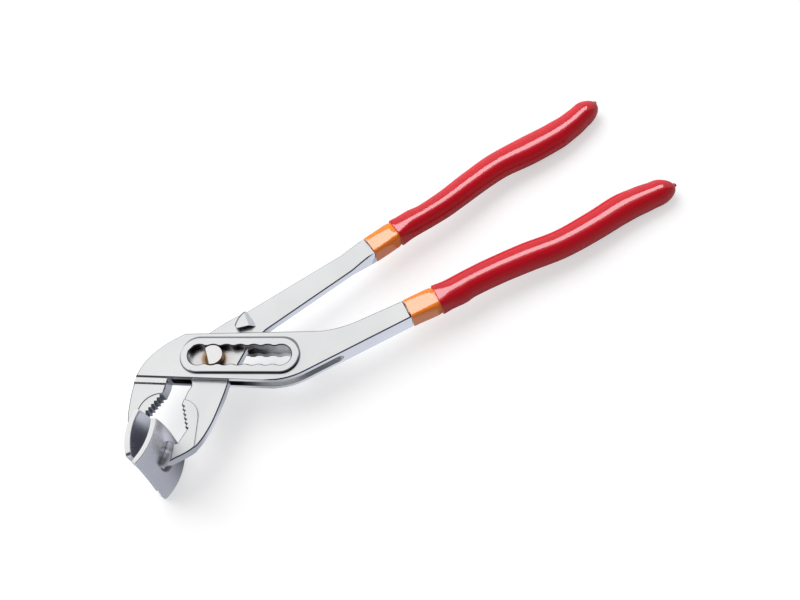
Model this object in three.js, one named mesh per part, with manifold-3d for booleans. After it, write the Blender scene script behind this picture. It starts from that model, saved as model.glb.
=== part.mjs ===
// Tyre setter pliers: slip-joint pliers of the box type with a curved steel plate welded to each jaw.
// Sizes are in millimetres. The arms are drawn in the slot's own plane: x runs along the adjusting slot,
// from the jaws to the handles, y runs towards the inner arm's handle, and the pin's axis is at x = y = 0.
import * as THREE from 'three';
import { mergeVertices } from 'three/addons/utils/BufferGeometryUtils.js';
import Module from 'manifold-3d';

const wasm = await Module();
wasm.setup();

// Fits between pieces
const FIT_GAP = 0.3;
const SLIDE_PLAY = 0.2;

// Thicknesses, measured along the pin
const INNER_THICK = 5;
const CHEEK_THICK = 2.7;
const BOSS_RISE = 1.6;
const RIDGE_DROP = 0.6;
const JAW_DROP = 1.1;
const FIXED_TIP_THICK = 7.6;
const MOVING_TIP_THICK = 6.4;
const MORTISE_GAP = INNER_THICK + 2 * SLIDE_PLAY;
const ARM_THICK = MORTISE_GAP + 2 * CHEEK_THICK;
const BOSS_THICK = ARM_THICK + 2 * BOSS_RISE;

// Adjusting slot and pin
const NOTCHES = 7;
const PIN_NOTCH = 1;
const NOTCH_PITCH = 6.85;
const PIN_R = 4.6;
const PIN_CHAMFER = 0.4;
const PIN_FLAT_AT = 0.64 * PIN_R;
const PIN_FLAT_TURN = THREE.MathUtils.degToRad(199);
const PIN_CLEARANCE = 0.1;
const NOTCH_R = PIN_R + 0.75;
const BOSS_R = NOTCH_R + 3.75;
const BOSS_CHAMFER = 0.35;
const FIRST_NOTCH_X = -PIN_NOTCH * NOTCH_PITCH;
const LAST_NOTCH_X = FIRST_NOTCH_X + (NOTCHES - 1) * NOTCH_PITCH;

// Mortise through the slotted arm, open above and below: it leaves room for the hub at both ends of the slot
const HUB_ROOM_TO_JAW = 13.55;
const HUB_ROOM_TO_HANDLE = 30.25;
const MORTISE_LEFT = FIRST_NOTCH_X - HUB_ROOM_TO_JAW;
const MORTISE_RIGHT = LAST_NOTCH_X + HUB_ROOM_TO_HANDLE;

// Slotted arm: corner points of its outline
const BACK_CURVE = [
  [-38, -37], [-39, -28.3], [-38.3, -14.9],
  [-34.4, -3.5], [-25.9, 5.7], [-15.6, 12.3],
];
const TOP_END = [50, 13.6];
const TOP_BEND = [60.6, 13.8];
const SHANK_TOP = [72, 19.7];
const SHANK_LOW = [47.5, -7.6];
const LOW_BEND = [39, -12.6];
const LOW_START = [30, -12.8];
const JAW_ROOT = [-21.7, -11.2];
const THROAT = [-22.1, -16.6];
const FIXED_TEETH_FROM = [-23.2, -19.6];
const FIXED_TEETH_TO = [-30.2, -29.9];
const FIXED_TIP_INNER = [-31, -33];
const FIXED_TIP_HEEL = [-26, -37.4];
const FIXED_TIP_END = [-26, -48];
const FIXED_TIP_BEND = [-37.6, -46.5];
const STEP_SLOPE = THREE.MathUtils.degToRad(-2);
const STEP_RUN = 0.9;
const RIDGE_RUN = 2.5;
const STEP_Y = -11.6;
const RECESS_AT = [-23.2, -30.5];
const RECESS_R = 11.2;

// Inner arm: corner points of its outline
const HUB_CURVE = [
  [-10, -12.8], [-13.2, -5], [-13.5, 2], [-9.5, 9.5],
  [-3.4, 14.6], [5.6, 21.2], [13.5, 25.5],
];
const BAR_LOW = [24.6, 15.6];
const HUB_RIGHT = [15.6, 4.5];
const SHANK_RIGHT = [
  [8.6, -12.9], [6.9, -20.9], [2.6, -35.4],
  [-3.7, -46.6], [-13, -52.8],
];
const MOVING_TIP_END = [-20, -57];
const MOVING_TIP_HEEL = [-18.5, -46];
const MOVING_TIP_INNER = [-12.3, -44.6];
const MOVING_TEETH_TO = [-9.2, -38.6];
const MOVING_TEETH_FROM = [-13.1, -25];
const MOVING_NECK = [[-12.2, -21.2], [-11, -17.4], [-9.8, -15.1]];
const RAISED_AT = [-13, -31];
const RAISED_R = 8.9;
const TEETH = 6;
const TOOTH_DEPTH = 1.1;

// Stop lug on each face of the inner arm
const LUG_CURVE = [
  [13.8, 25], [11, 21.8], [9.3, 17.6],
  [9.6, 15.9], [10.9, 15.3],
];
const LUG_RIGHT = [20, 17.6];
const LUG_CREST = [[13.2, 23.6], [16.4, 16.7]];
const LUG_RAMP = 3.2;

// Handles: where each one's coats begin, its direction and its length from there. At each of the listed
// shares of that length, bow is how far its centreline lies to the left, and widths is its grip's half width
const HANDLE_RATIOS = [0, 0.13, 0.18, 0.23, 0.32, 0.44, 0.56, 0.69, 0.8, 0.87, 0.93, 1];
const SLOTTED_HANDLE_LENGTH = 149.7;
const INNER_HANDLE_LENGTH = 143.1;
const SLOTTED_HANDLE = {
  collar: [94.8, 25.4],
  angle: THREE.MathUtils.degToRad(28),
  length: SLOTTED_HANDLE_LENGTH,
  bow: [0, 0.1, 0.15, 0.65, 0.85, 0.15, -1.3, 0.05, 2.1, 2.1, 1.6, 1.55],
  widths: [6, 6.1, 6.45, 6.35, 6.9, 7.3, 7.05, 7.3, 7.35, 6.95, 6.35, 5.6],
};
const INNER_HANDLE = {
  collar: [73.5, 61.35],
  angle: THREE.MathUtils.degToRad(36.65),
  length: INNER_HANDLE_LENGTH,
  bow: [0, 0.1, 0.05, -0.5, -0.5, 0.95, 1.7, -0.35, -1.65, -1.25, 0.2, 1.9],
  widths: [5.9, 5.75, 5.8, 5.5, 6.2, 6.5, 6.95, 7.75, 7.15, 6.3, 5.6, 4.9],
};
const HANDLE_LEAD = 20;
const PATH_DIVISIONS = 60;
const COLLAR_HALF_WIDTH = 5.1;
const THICKEN_RUN = 20;
const NECK_RISE = 0.5;
const TANG_LEAD = 6;

// Dipped coats: an under coat that shows as a collar, and an outer coat over it
const GRIP_HALF_THICK = 6.3;
const GRIP_DOME = 8;
const OUTER_COAT = 0.65;
const UNDER_COAT = 0.95;
const COLLAR_SHOW = 15.6;
const COLLAR_LIP = 0.4;
const LIP_RUN = 1.5;

// Section of a coat: a superellipse, nearly square at the collar and oval further on
const COLLAR_POWER = 7;
const COAT_POWER = 2.4;
const ROUNDING_RUN = 46;
const TANG_POWER = 4;
const DRIP_R = 1.3;
const GRIP_STEPS = 16;
const DOME_STEPS = [0.4, 0.7, 0.9, 0.985];

// Jaw plates and welds
const PLATE_THICK = 2.8;
const PLATE_WIDTH = 51;
const PLATE_LENGTH = 25.4;
const PLATE_INNER_R = 30;
const PLATE_TIP_BOW = 0.6;
const PLATE_HEEL_BOW = 2.2;
const PLATE_CORNER = 3.4;
const FIXED_PLATE = {
  at: [-29.2, -46.7],
  turn: THREE.MathUtils.degToRad(-94),
  side: 1,
  weldAt: -5,
  tipThick: FIXED_TIP_THICK,
};
const MOVING_PLATE = {
  at: [-19.1, -51.6],
  turn: THREE.MathUtils.degToRad(-104.6),
  side: -1,
  weldAt: -1.4,
  tipThick: MOVING_TIP_THICK,
};
const WELD_LUMPS = 4;
const WELD_STEP = 2.5;
const WELD_R = 3.3;
const WELD_RISE = 0.4;

// The handles lie along +X once the head is turned by this angle
const HEAD_ANGLE = THREE.MathUtils.degToRad(30);

const PLATE_OUTER_R = PLATE_INNER_R + PLATE_THICK;
const BIG = 400;

// A solid from a closed three.js geometry
function solid(geometry) {
  const bare = geometry.index ? geometry.toNonIndexed() : geometry.clone();
  bare.deleteAttribute('normal');
  bare.deleteAttribute('uv');
  const merged = mergeVertices(bare, 1e-4);
  const mesh = new wasm.Mesh({
    numProp: 3,
    vertProperties: merged.attributes.position.array,
    triVerts: new Uint32Array(merged.index.array),
  });
  return new wasm.Manifold(mesh);
}

// A flat outline raised to a thickness, centred on the middle plane unless a base height is given
function prismGeometry(shape, thick, base = -thick / 2, curveSegments = 6, bevel = 0) {
  const options = { depth: thick - 2 * bevel, curveSegments, bevelEnabled: bevel > 0 };
  if (bevel > 0) {
    Object.assign(options, { bevelThickness: bevel, bevelSize: bevel });
    Object.assign(options, { bevelOffset: -bevel, bevelSegments: 1 });
  }
  const geometry = new THREE.ExtrudeGeometry(shape, options);
  geometry.translate(0, 0, base + bevel);
  return geometry;
}

// The same as a solid
function prism(shape, thick, base, curveSegments, bevel) {
  return solid(prismGeometry(shape, thick, base, curveSegments, bevel));
}

function polygon(points) {
  return new THREE.Shape(points.map(([x, y]) => new THREE.Vector2(x, y)));
}

function disc([x, y], radius) {
  const shape = new THREE.Shape();
  shape.absarc(x, y, radius, 0, 2 * Math.PI);
  return shape;
}

// A slot shape with round ends about two centres on the slot's axis
function stadium(x0, x1, radius) {
  const shape = new THREE.Shape();
  shape.absarc(x1, 0, radius, -Math.PI / 2, Math.PI / 2);
  shape.absarc(x0, 0, radius, Math.PI / 2, 1.5 * Math.PI);
  return shape;
}

function curveThrough(shape, points) {
  shape.splineThru(points.map(([x, y]) => new THREE.Vector2(x, y)));
}

// V teeth from one point to another, cut to the left of the way from start to end when depth is positive
function teethAlong(shape, from, to, depth) {
  const dx = (to[0] - from[0]) / TEETH;
  const dy = (to[1] - from[1]) / TEETH;
  const length = Math.hypot(dx, dy);
  for (let i = 0; i < TEETH; i += 1) {
    const midX = from[0] + dx * (i + 0.5) - (dy / length) * depth;
    const midY = from[1] + dy * (i + 0.5) + (dx / length) * depth;
    shape.lineTo(midX, midY);
    shape.lineTo(from[0] + dx * (i + 1), from[1] + dy * (i + 1));
  }
}

// Handles: a path from a little before the collar to the end, sampled by distance from the collar
function handle({ collar, angle, length: reach, bow, widths }) {
  const bowed = HANDLE_RATIOS.map((share, i) => [share * reach, bow[i]]);
  const points = [[-HANDLE_LEAD, 0], ...bowed];
  const place = new THREE.Matrix4().makeRotationZ(angle).setPosition(collar[0], collar[1], 0);
  const vectors = points.map(([u, v]) => new THREE.Vector3(u, v, 0).applyMatrix4(place));
  const curve = new THREE.CatmullRomCurve3(vectors, false, 'centripetal');
  curve.arcLengthDivisions = PATH_DIVISIONS * (points.length - 1);
  const total = curve.getLength();
  const lead = curve.getLengths()[PATH_DIVISIONS];
  const length = total - lead;
  const frameAt = (s) => {
    const u = THREE.MathUtils.clamp((s + lead) / total, 0, 1);
    const centre = curve.getPointAt(u);
    const along = curve.getTangentAt(u);
    return { centre, along, across: new THREE.Vector3(-along.y, along.x, 0) };
  };
  return { length, frameAt, widths };
}

// A grip's half width at a distance along it, eased between the listed places
function gripHalfWidth({ length, widths }, s) {
  const f = THREE.MathUtils.clamp(s / length, 0, 1);
  const i = HANDLE_RATIOS.findIndex((share, k) => k > 0 && f <= share);
  const eased = THREE.MathUtils.smoothstep(f, HANDLE_RATIOS[i - 1], HANDLE_RATIOS[i]);
  return THREE.MathUtils.lerp(widths[i - 1], widths[i], eased);
}

// The power of a coat's section at a distance along it
function coatPower(s) {
  const round = THREE.MathUtils.smoothstep(s, 0, ROUNDING_RUN);
  return THREE.MathUtils.lerp(COLLAR_POWER, COAT_POWER, round);
}

const tangPower = () => TANG_POWER;

// A body lofted along a handle from rounded sections of a given half width and half thickness
function loftAlong(grip, stations, section, powerAt, count) {
  const positions = [];
  const index = [];
  stations.forEach((s) => {
    const { centre, across } = grip.frameAt(s);
    const [halfWidth, halfThick] = section(s);
    const power = powerAt(s);
    for (let k = 0; k < count; k += 1) {
      const angle = (2 * Math.PI * k) / count;
      const c = Math.cos(angle);
      const d = Math.sin(angle);
      const r = (Math.abs(c) ** power + Math.abs(d) ** power) ** (-1 / power);
      const p = centre.clone().addScaledVector(across, r * c * halfWidth);
      positions.push(p.x, p.y, r * d * halfThick);
    }
  });
  const last = stations.length - 1;
  for (let i = 0; i < last; i += 1) {
    for (let k = 0; k < count; k += 1) {
      const a = i * count + k;
      const b = i * count + ((k + 1) % count);
      index.push(a, b, b + count, a, b + count, a + count);
    }
  }
  const firstCentre = positions.length / 3;
  [0, last].forEach((i) => {
    const { centre } = grip.frameAt(stations[i]);
    positions.push(centre.x, centre.y, 0);
  });
  for (let k = 0; k < count; k += 1) {
    const next = (k + 1) % count;
    index.push(firstCentre, next, k);
    index.push(firstCentre + 1, last * count + k, last * count + next);
  }
  const geometry = new THREE.BufferGeometry();
  geometry.setAttribute('position', new THREE.Float32BufferAttribute(positions, 3));
  geometry.setIndex(index);
  return solid(geometry);
}

// Stations from a layer's start to its domed end: one each side of the collar's lip, and close in the dome
function layerStations(start, end, dome) {
  const first = Math.max(start, COLLAR_SHOW);
  const body = end - dome;
  const stations = start < first ? [start, first - LIP_RUN, first] : [start];
  for (let i = 1; i <= GRIP_STEPS; i += 1) {
    stations.push(first + ((body - first) * i) / GRIP_STEPS);
  }
  DOME_STEPS.forEach((f) => stations.push(body + dome * f));
  return stations;
}

// A coat's section, inset from the outer skin and rounded off at its end
function coatSection(grip, inset, end, dome, lip = 0) {
  return (s) => {
    const t = THREE.MathUtils.clamp((s - (end - dome)) / dome, 0, 1);
    const round = Math.sqrt(1 - t * t);
    const collar = lip * (1 - THREE.MathUtils.smoothstep(s, COLLAR_SHOW - LIP_RUN, COLLAR_SHOW));
    const halfWidth = gripHalfWidth(grip, s) - inset + collar;
    return [halfWidth * round, (GRIP_HALF_THICK - inset + collar) * round];
  };
}

// Nested layers of one grip, each measured in from the outer skin
const BORE_OF_OUTER = OUTER_COAT;
const SKIN_OF_UNDER = BORE_OF_OUTER + FIT_GAP;
const BORE_OF_UNDER = SKIN_OF_UNDER + UNDER_COAT;
const SKIN_OF_TANG = BORE_OF_UNDER + FIT_GAP;

function layer(grip, start, inset, powerAt, lip) {
  const end = grip.length - inset;
  const dome = GRIP_DOME - inset;
  const section = coatSection(grip, inset, end, dome, lip);
  return loftAlong(grip, layerStations(start, end, dome), section, powerAt, 16);
}

function outerCoat(grip) {
  const start = COLLAR_SHOW + FIT_GAP;
  const { centre } = grip.frameAt(grip.length);
  const drip = solid(new THREE.SphereGeometry(DRIP_R, 12, 8).translate(centre.x, centre.y, 0));
  const skin = layer(grip, start, 0, coatPower).add(drip);
  return skin.subtract(layer(grip, start - 1, BORE_OF_OUTER, coatPower));
}

function underCoat(grip) {
  const skin = layer(grip, FIT_GAP, SKIN_OF_UNDER, coatPower, COLLAR_LIP);
  return skin.subtract(layer(grip, FIT_GAP - 1, BORE_OF_UNDER, tangPower));
}

const tang = (grip) => layer(grip, -TANG_LEAD, SKIN_OF_TANG, tangPower);

const slottedHandle = handle(SLOTTED_HANDLE);
const innerHandle = handle(INNER_HANDLE);

// The two corners of an arm where its coat begins
function collarCorners(grip) {
  const { centre, across } = grip.frameAt(0);
  return [1, -1].map((side) => {
    const corner = centre.clone().addScaledVector(across, side * COLLAR_HALF_WIDTH);
    return [corner.x, corner.y];
  });
}

// Jaw plates: a strip of tube, trimmed to an outline with bowed ends and rounded corners at the tip
function plateCentre(plate) {
  const reach = PLATE_INNER_R + PLATE_THICK / 2;
  const across = plate.turn + (plate.side * Math.PI) / 2;
  return [plate.at[0] + reach * Math.cos(across), plate.at[1] + reach * Math.sin(across)];
}

function plateOutline() {
  const half = PLATE_WIDTH / 2;
  const heel = PLATE_HEEL_BOW - PLATE_LENGTH / 2;
  const tip = PLATE_LENGTH / 2 - PLATE_TIP_BOW;
  const inner = half - PLATE_CORNER;
  const shape = new THREE.Shape();
  shape.moveTo(heel, -half);
  shape.lineTo(tip - PLATE_CORNER, -half);
  shape.quadraticCurveTo(tip, -half, tip, -inner);
  shape.quadraticCurveTo(tip + 2 * PLATE_TIP_BOW, 0, tip, inner);
  shape.quadraticCurveTo(tip, half, tip - PLATE_CORNER, half);
  shape.lineTo(heel, half);
  shape.quadraticCurveTo(heel - 2 * PLATE_HEEL_BOW, 0, heel, -half);
  return shape;
}

function jawPlate(plate) {
  const centre = plateCentre(plate);
  const tube = prism(disc(centre, PLATE_OUTER_R), PLATE_WIDTH + 2, undefined, 48)
    .subtract(prism(disc(centre, PLATE_INNER_R), PLATE_WIDTH + 4, undefined, 48));
  const outline = prismGeometry(plateOutline(), PLATE_INNER_R, undefined, 10);
  const turn = new THREE.Matrix4().makeRotationZ(plate.turn);
  turn.multiply(new THREE.Matrix4().makeRotationX(Math.PI / 2));
  outline.applyMatrix4(turn);
  outline.translate(plate.at[0], plate.at[1], 0);
  return tube.intersect(solid(outline));
}

function plateSeat(plate) {
  return prism(disc(plateCentre(plate), PLATE_OUTER_R + FIT_GAP), PLATE_WIDTH, undefined, 48);
}

// Weld beads: overlapping lumps in the corner between a plate's outer face and one face of a jaw tip
function weldBead(plate, face) {
  const centre = plateCentre(plate);
  const reach = PLATE_OUTER_R + WELD_RISE;
  const spread = WELD_STEP / PLATE_OUTER_R;
  const middle = plate.turn + plate.side * (plate.weldAt / PLATE_OUTER_R - Math.PI / 2);
  let bead = null;
  for (let i = 0; i < WELD_LUMPS; i += 1) {
    const angle = middle + (i - (WELD_LUMPS - 1) / 2) * spread;
    const lump = new THREE.SphereGeometry(WELD_R, 14, 10);
    lump.translate(
      centre[0] + reach * Math.cos(angle),
      centre[1] + reach * Math.sin(angle),
      face * (plate.tipThick / 2),
    );
    bead = bead ? bead.add(solid(lump)) : solid(lump);
  }
  const jawSlab = prism(disc(centre, BIG), plate.tipThick + 2 * FIT_GAP, undefined, 12);
  return bead.subtract(plateSeat(plate)).subtract(jawSlab);
}

// Slotted arm
function slottedOutline() {
  const [collarTop, collarLow] = collarCorners(slottedHandle);
  const shape = new THREE.Shape();
  shape.moveTo(...BACK_CURVE.at(-1));
  shape.lineTo(...TOP_END);
  shape.quadraticCurveTo(...TOP_BEND, ...SHANK_TOP);
  shape.lineTo(...collarTop);
  shape.lineTo(...collarLow);
  shape.lineTo(...SHANK_LOW);
  shape.quadraticCurveTo(...LOW_BEND, ...LOW_START);
  shape.lineTo(...JAW_ROOT);
  shape.lineTo(...THROAT);
  shape.lineTo(...FIXED_TEETH_FROM);
  teethAlong(shape, FIXED_TEETH_FROM, FIXED_TEETH_TO, -TOOTH_DEPTH);
  shape.lineTo(...FIXED_TIP_INNER);
  shape.lineTo(...FIXED_TIP_HEEL);
  shape.lineTo(...FIXED_TIP_END);
  shape.quadraticCurveTo(...FIXED_TIP_BEND, ...BACK_CURVE[0]);
  curveThrough(shape, BACK_CURVE.slice(1));
  return shape;
}

// The arm's thickness steps down twice below the cheek, along lines that run beside the slot
function steppedEnvelope() {
  const half = ARM_THICK / 2;
  const ridge = half - RIDGE_DROP;
  const jaw = half - JAW_DROP;
  const y1 = STEP_Y - STEP_RUN;
  const y2 = y1 - RIDGE_RUN;
  const y3 = y2 - STEP_RUN;
  const side = [[BIG, half], [STEP_Y, half], [y1, ridge], [y2, ridge], [y3, jaw], [-BIG, jaw]];
  const other = side.map(([y, z]) => [y, -z]).reverse();
  const geometry = prismGeometry(polygon([...side, ...other]), 2 * BIG);
  const axes = new THREE.Matrix4().makeBasis(
    new THREE.Vector3(0, 1, 0),
    new THREE.Vector3(0, 0, 1),
    new THREE.Vector3(1, 0, 0),
  );
  geometry.applyMatrix4(axes);
  geometry.rotateZ(STEP_SLOPE);
  return solid(geometry);
}

// The box that the inner arm passes through, round at its handle end
function mortise() {
  const half = MORTISE_GAP / 2;
  const shape = new THREE.Shape();
  shape.moveTo(MORTISE_LEFT, -half);
  shape.lineTo(MORTISE_RIGHT - half, -half);
  shape.absarc(MORTISE_RIGHT - half, 0, half, -Math.PI / 2, Math.PI / 2);
  shape.lineTo(MORTISE_LEFT, half);
  const geometry = prismGeometry(shape, BIG, undefined, 8);
  geometry.rotateX(Math.PI / 2);
  return solid(geometry);
}

// The slot through the boss: straight sides with round notches along both
function scallopedSlot() {
  const depth = BOSS_THICK + 2;
  let slot = prism(stadium(FIRST_NOTCH_X, LAST_NOTCH_X, PIN_R + PIN_CLEARANCE), depth, undefined, 12);
  for (let i = 0; i < NOTCHES; i += 1) {
    const notch = new THREE.CylinderGeometry(NOTCH_R, NOTCH_R, depth, 32);
    notch.rotateX(Math.PI / 2);
    notch.translate(FIRST_NOTCH_X + i * NOTCH_PITCH, 0, 0);
    slot = slot.add(solid(notch));
  }
  return slot;
}

// The outline of the round-topped zone round a jaw's teeth
function toothZone([x, y], radius) {
  const shape = new THREE.Shape();
  shape.absarc(x, y, radius, 0, Math.PI);
  shape.lineTo(x - radius, y - BIG);
  shape.lineTo(x + radius, y - BIG);
  return shape;
}

function slottedArm() {
  const zone = toothZone(RECESS_AT, RECESS_R);
  const boss = stadium(FIRST_NOTCH_X, LAST_NOTCH_X, BOSS_R);
  let arm = prism(slottedOutline(), ARM_THICK + 2).intersect(steppedEnvelope());
  arm = arm.add(prism(boss, BOSS_THICK, undefined, 16, BOSS_CHAMFER));
  arm = arm.subtract(mortise()).subtract(scallopedSlot());
  arm = arm.subtract(prism(zone, ARM_THICK, FIXED_TIP_THICK / 2, 16));
  arm = arm.subtract(prism(zone, ARM_THICK, -FIXED_TIP_THICK / 2 - ARM_THICK, 16));
  return arm.subtract(plateSeat(FIXED_PLATE)).add(tang(slottedHandle));
}

// Inner arm
function innerOutline() {
  const [collarTop, collarLow] = collarCorners(innerHandle);
  const shape = new THREE.Shape();
  shape.moveTo(...HUB_CURVE[0]);
  curveThrough(shape, HUB_CURVE.slice(1));
  shape.lineTo(...collarTop);
  shape.lineTo(...collarLow);
  shape.lineTo(...BAR_LOW);
  shape.lineTo(...HUB_RIGHT);
  shape.lineTo(...SHANK_RIGHT[0]);
  curveThrough(shape, SHANK_RIGHT.slice(1));
  shape.lineTo(...MOVING_TIP_END);
  shape.lineTo(...MOVING_TIP_HEEL);
  shape.lineTo(...MOVING_TIP_INNER);
  shape.lineTo(...MOVING_TEETH_TO);
  teethAlong(shape, MOVING_TEETH_TO, MOVING_TEETH_FROM, -TOOTH_DEPTH);
  curveThrough(shape, [...MOVING_NECK, HUB_CURVE[0]]);
  return shape;
}

// The lug stands as high as the cheek and ramps down to the bar on the handle side
function stopLugs() {
  const outline = new THREE.Shape();
  outline.moveTo(...LUG_CURVE[0]);
  curveThrough(outline, LUG_CURVE.slice(1));
  outline.lineTo(...LUG_RIGHT);
  const [[x0, y0], [x1, y1]] = LUG_CREST;
  const top = ARM_THICK / 2;
  const low = INNER_THICK / 2 - FIT_GAP;
  const ramp = polygon([[-BIG, -top], [0, -top], [LUG_RAMP, -low], [LUG_RAMP, low], [0, top], [-BIG, top]]);
  const geometry = prismGeometry(ramp, BIG);
  const along = new THREE.Vector3(x0 - x1, y0 - y1, 0).normalize();
  const across = new THREE.Vector3(along.y, -along.x, 0);
  const up = new THREE.Vector3(0, 0, 1);
  geometry.applyMatrix4(new THREE.Matrix4().makeBasis(across, up, along.clone().negate()));
  geometry.translate(x1, y1, 0);
  return prism(outline, ARM_THICK + 2).intersect(solid(geometry));
}

// The bar thickens towards the collar by a smooth ramp on both faces
function thickenedNeck(outline) {
  const from = INNER_THICK / 2 - FIT_GAP;
  const to = GRIP_HALF_THICK - SKIN_OF_TANG + NECK_RISE;
  const middle = -THICKEN_RUN / 2;
  const side = new THREE.Shape();
  side.moveTo(-THICKEN_RUN, -from);
  side.bezierCurveTo(middle, -from, middle, -to, 0, -to);
  side.lineTo(HANDLE_LEAD, -to);
  side.lineTo(HANDLE_LEAD, to);
  side.lineTo(0, to);
  side.bezierCurveTo(middle, to, middle, from, -THICKEN_RUN, from);
  const geometry = prismGeometry(side, 2 * HANDLE_LEAD, undefined, 10);
  const { centre, along, across } = innerHandle.frameAt(0);
  const axes = new THREE.Matrix4().makeBasis(along, new THREE.Vector3(0, 0, 1), across.negate());
  geometry.applyMatrix4(axes.setPosition(centre));
  return prism(outline, ARM_THICK).intersect(solid(geometry));
}

function innerArm() {
  const outline = innerOutline();
  const zone = prism(toothZone(RAISED_AT, RAISED_R), MOVING_TIP_THICK + 2, undefined, 16);
  const raised = prism(outline, MOVING_TIP_THICK).intersect(zone);
  const bore = new THREE.CylinderGeometry(PIN_R + PIN_CLEARANCE, PIN_R + PIN_CLEARANCE, BIG, 32);
  bore.rotateX(Math.PI / 2);
  let arm = prism(outline, INNER_THICK).add(raised).add(stopLugs()).add(thickenedNeck(outline));
  arm = arm.subtract(solid(bore)).subtract(plateSeat(MOVING_PLATE));
  return arm.add(tang(innerHandle));
}

// Pin: round through the inner arm, with a flat on each end where it stands in the slot
function jointPin() {
  const half = BOSS_THICK / 2;
  const profile = [
    new THREE.Vector2(0, -half),
    new THREE.Vector2(PIN_R - PIN_CHAMFER, -half),
    new THREE.Vector2(PIN_R, PIN_CHAMFER - half),
    new THREE.Vector2(PIN_R, half - PIN_CHAMFER),
    new THREE.Vector2(PIN_R - PIN_CHAMFER, half),
    new THREE.Vector2(0, half),
  ];
  let pin = solid(new THREE.LatheGeometry(profile, 32).rotateX(Math.PI / 2));
  const endLength = (BOSS_THICK - INNER_THICK) / 2;
  [1, -1].forEach((face) => {
    const flat = new THREE.BoxGeometry(2 * PIN_R, 4 * PIN_R, endLength * 2);
    flat.translate(PIN_FLAT_AT + PIN_R, 0, face * (half + SLIDE_PLAY));
    flat.rotateZ(PIN_FLAT_TURN);
    pin = pin.subtract(solid(flat));
  });
  return pin;
}

// Named meshes
const STEEL = new THREE.MeshStandardMaterial({ color: 0xd9dadb, roughness: 0.38, metalness: 1 });
const PIN_STEEL = new THREE.MeshStandardMaterial({ color: 0xdcdcdc, roughness: 0.3, metalness: 1 });
const PLATE_STEEL = new THREE.MeshStandardMaterial({ color: 0xb4b8c0, roughness: 0.35, metalness: 1 });
const WELD_STEEL = new THREE.MeshStandardMaterial({ color: 0x8d8f96, roughness: 0.45, metalness: 1 });
const ORANGE = new THREE.MeshStandardMaterial({ color: 0xf08a32, roughness: 0.25, metalness: 0 });
const RED = new THREE.MeshStandardMaterial({ color: 0xc4182b, roughness: 0.22, metalness: 0 });

function mesh(name, body, material) {
  const { vertProperties, triVerts } = body.getMesh();
  const geometry = new THREE.BufferGeometry();
  geometry.setAttribute('position', new THREE.BufferAttribute(vertProperties, 3));
  geometry.setIndex(new THREE.BufferAttribute(triVerts, 1));
  geometry.computeVertexNormals();
  const result = new THREE.Mesh(geometry, material);
  result.name = name;
  return result;
}

const pliers = new THREE.Group();
pliers.add(
  mesh('slotted_arm', slottedArm(), STEEL),
  mesh('inner_arm', innerArm(), STEEL),
  mesh('joint_pin', jointPin(), PIN_STEEL),
  mesh('slotted_arm_grip_undercoat', underCoat(slottedHandle), ORANGE),
  mesh('slotted_arm_grip', outerCoat(slottedHandle), RED),
  mesh('inner_arm_grip_undercoat', underCoat(innerHandle), ORANGE),
  mesh('inner_arm_grip', outerCoat(innerHandle), RED),
  mesh('fixed_jaw_plate', jawPlate(FIXED_PLATE), PLATE_STEEL),
  mesh('moving_jaw_plate', jawPlate(MOVING_PLATE), PLATE_STEEL),
  mesh('fixed_jaw_weld_front', weldBead(FIXED_PLATE, 1), WELD_STEEL),
  mesh('fixed_jaw_weld_back', weldBead(FIXED_PLATE, -1), WELD_STEEL),
  mesh('moving_jaw_weld_front', weldBead(MOVING_PLATE, 1), WELD_STEEL),
  mesh('moving_jaw_weld_back', weldBead(MOVING_PLATE, -1), WELD_STEEL),
);

// The origin is on the pin's axis, level with the pin's back end
pliers.rotation.z = -HEAD_ANGLE;
pliers.position.z = BOSS_THICK / 2;

export default pliers;
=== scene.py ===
# %% [markdown]
# Tire setter pliers, dressed for a studio picture.
# The tool is a pair of slip-joint pliers with two curved plates welded to its jaws. The solids come from
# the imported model, which is the fixed frame: every piece made here lies in the same metres, and rides
# on one of its three bodies: the slotted arm, the pin or the inner arm.

# %% Load the frame
import math

import bmesh
import bpy
import numpy as np
from mathutils import Matrix, Vector


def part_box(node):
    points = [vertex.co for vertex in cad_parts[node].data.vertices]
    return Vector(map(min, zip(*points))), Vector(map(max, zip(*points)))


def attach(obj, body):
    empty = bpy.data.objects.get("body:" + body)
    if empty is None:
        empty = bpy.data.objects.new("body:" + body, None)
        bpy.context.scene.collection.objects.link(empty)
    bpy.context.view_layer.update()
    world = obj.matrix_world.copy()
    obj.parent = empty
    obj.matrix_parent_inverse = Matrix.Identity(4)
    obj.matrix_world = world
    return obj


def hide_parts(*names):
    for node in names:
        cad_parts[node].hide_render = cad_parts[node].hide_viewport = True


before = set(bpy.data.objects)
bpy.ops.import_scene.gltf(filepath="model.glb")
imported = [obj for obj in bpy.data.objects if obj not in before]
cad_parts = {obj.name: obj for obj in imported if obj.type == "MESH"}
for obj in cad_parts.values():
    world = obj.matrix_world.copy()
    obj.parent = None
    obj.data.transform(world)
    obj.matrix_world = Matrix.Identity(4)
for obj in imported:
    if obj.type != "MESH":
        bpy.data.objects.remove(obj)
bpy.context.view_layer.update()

# %% [markdown]
# The arms are drawn in the plane of their slot, in millimetres: x runs along the slot, and the pin is at
# zero. The frame itself is turned by 30 degrees, so that the handles lie along X, and its zero height is
# the pin's back end. Each piece could be worked out in the frame, but its numbers would be hard to
# read. So one function carries points from the drawing into the frame.

# %% From the slot's drawing to the frame
MM = 0.001
HEAD_ANGLE = math.radians(30)
MIDDLE_HEIGHT = 7.0


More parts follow.
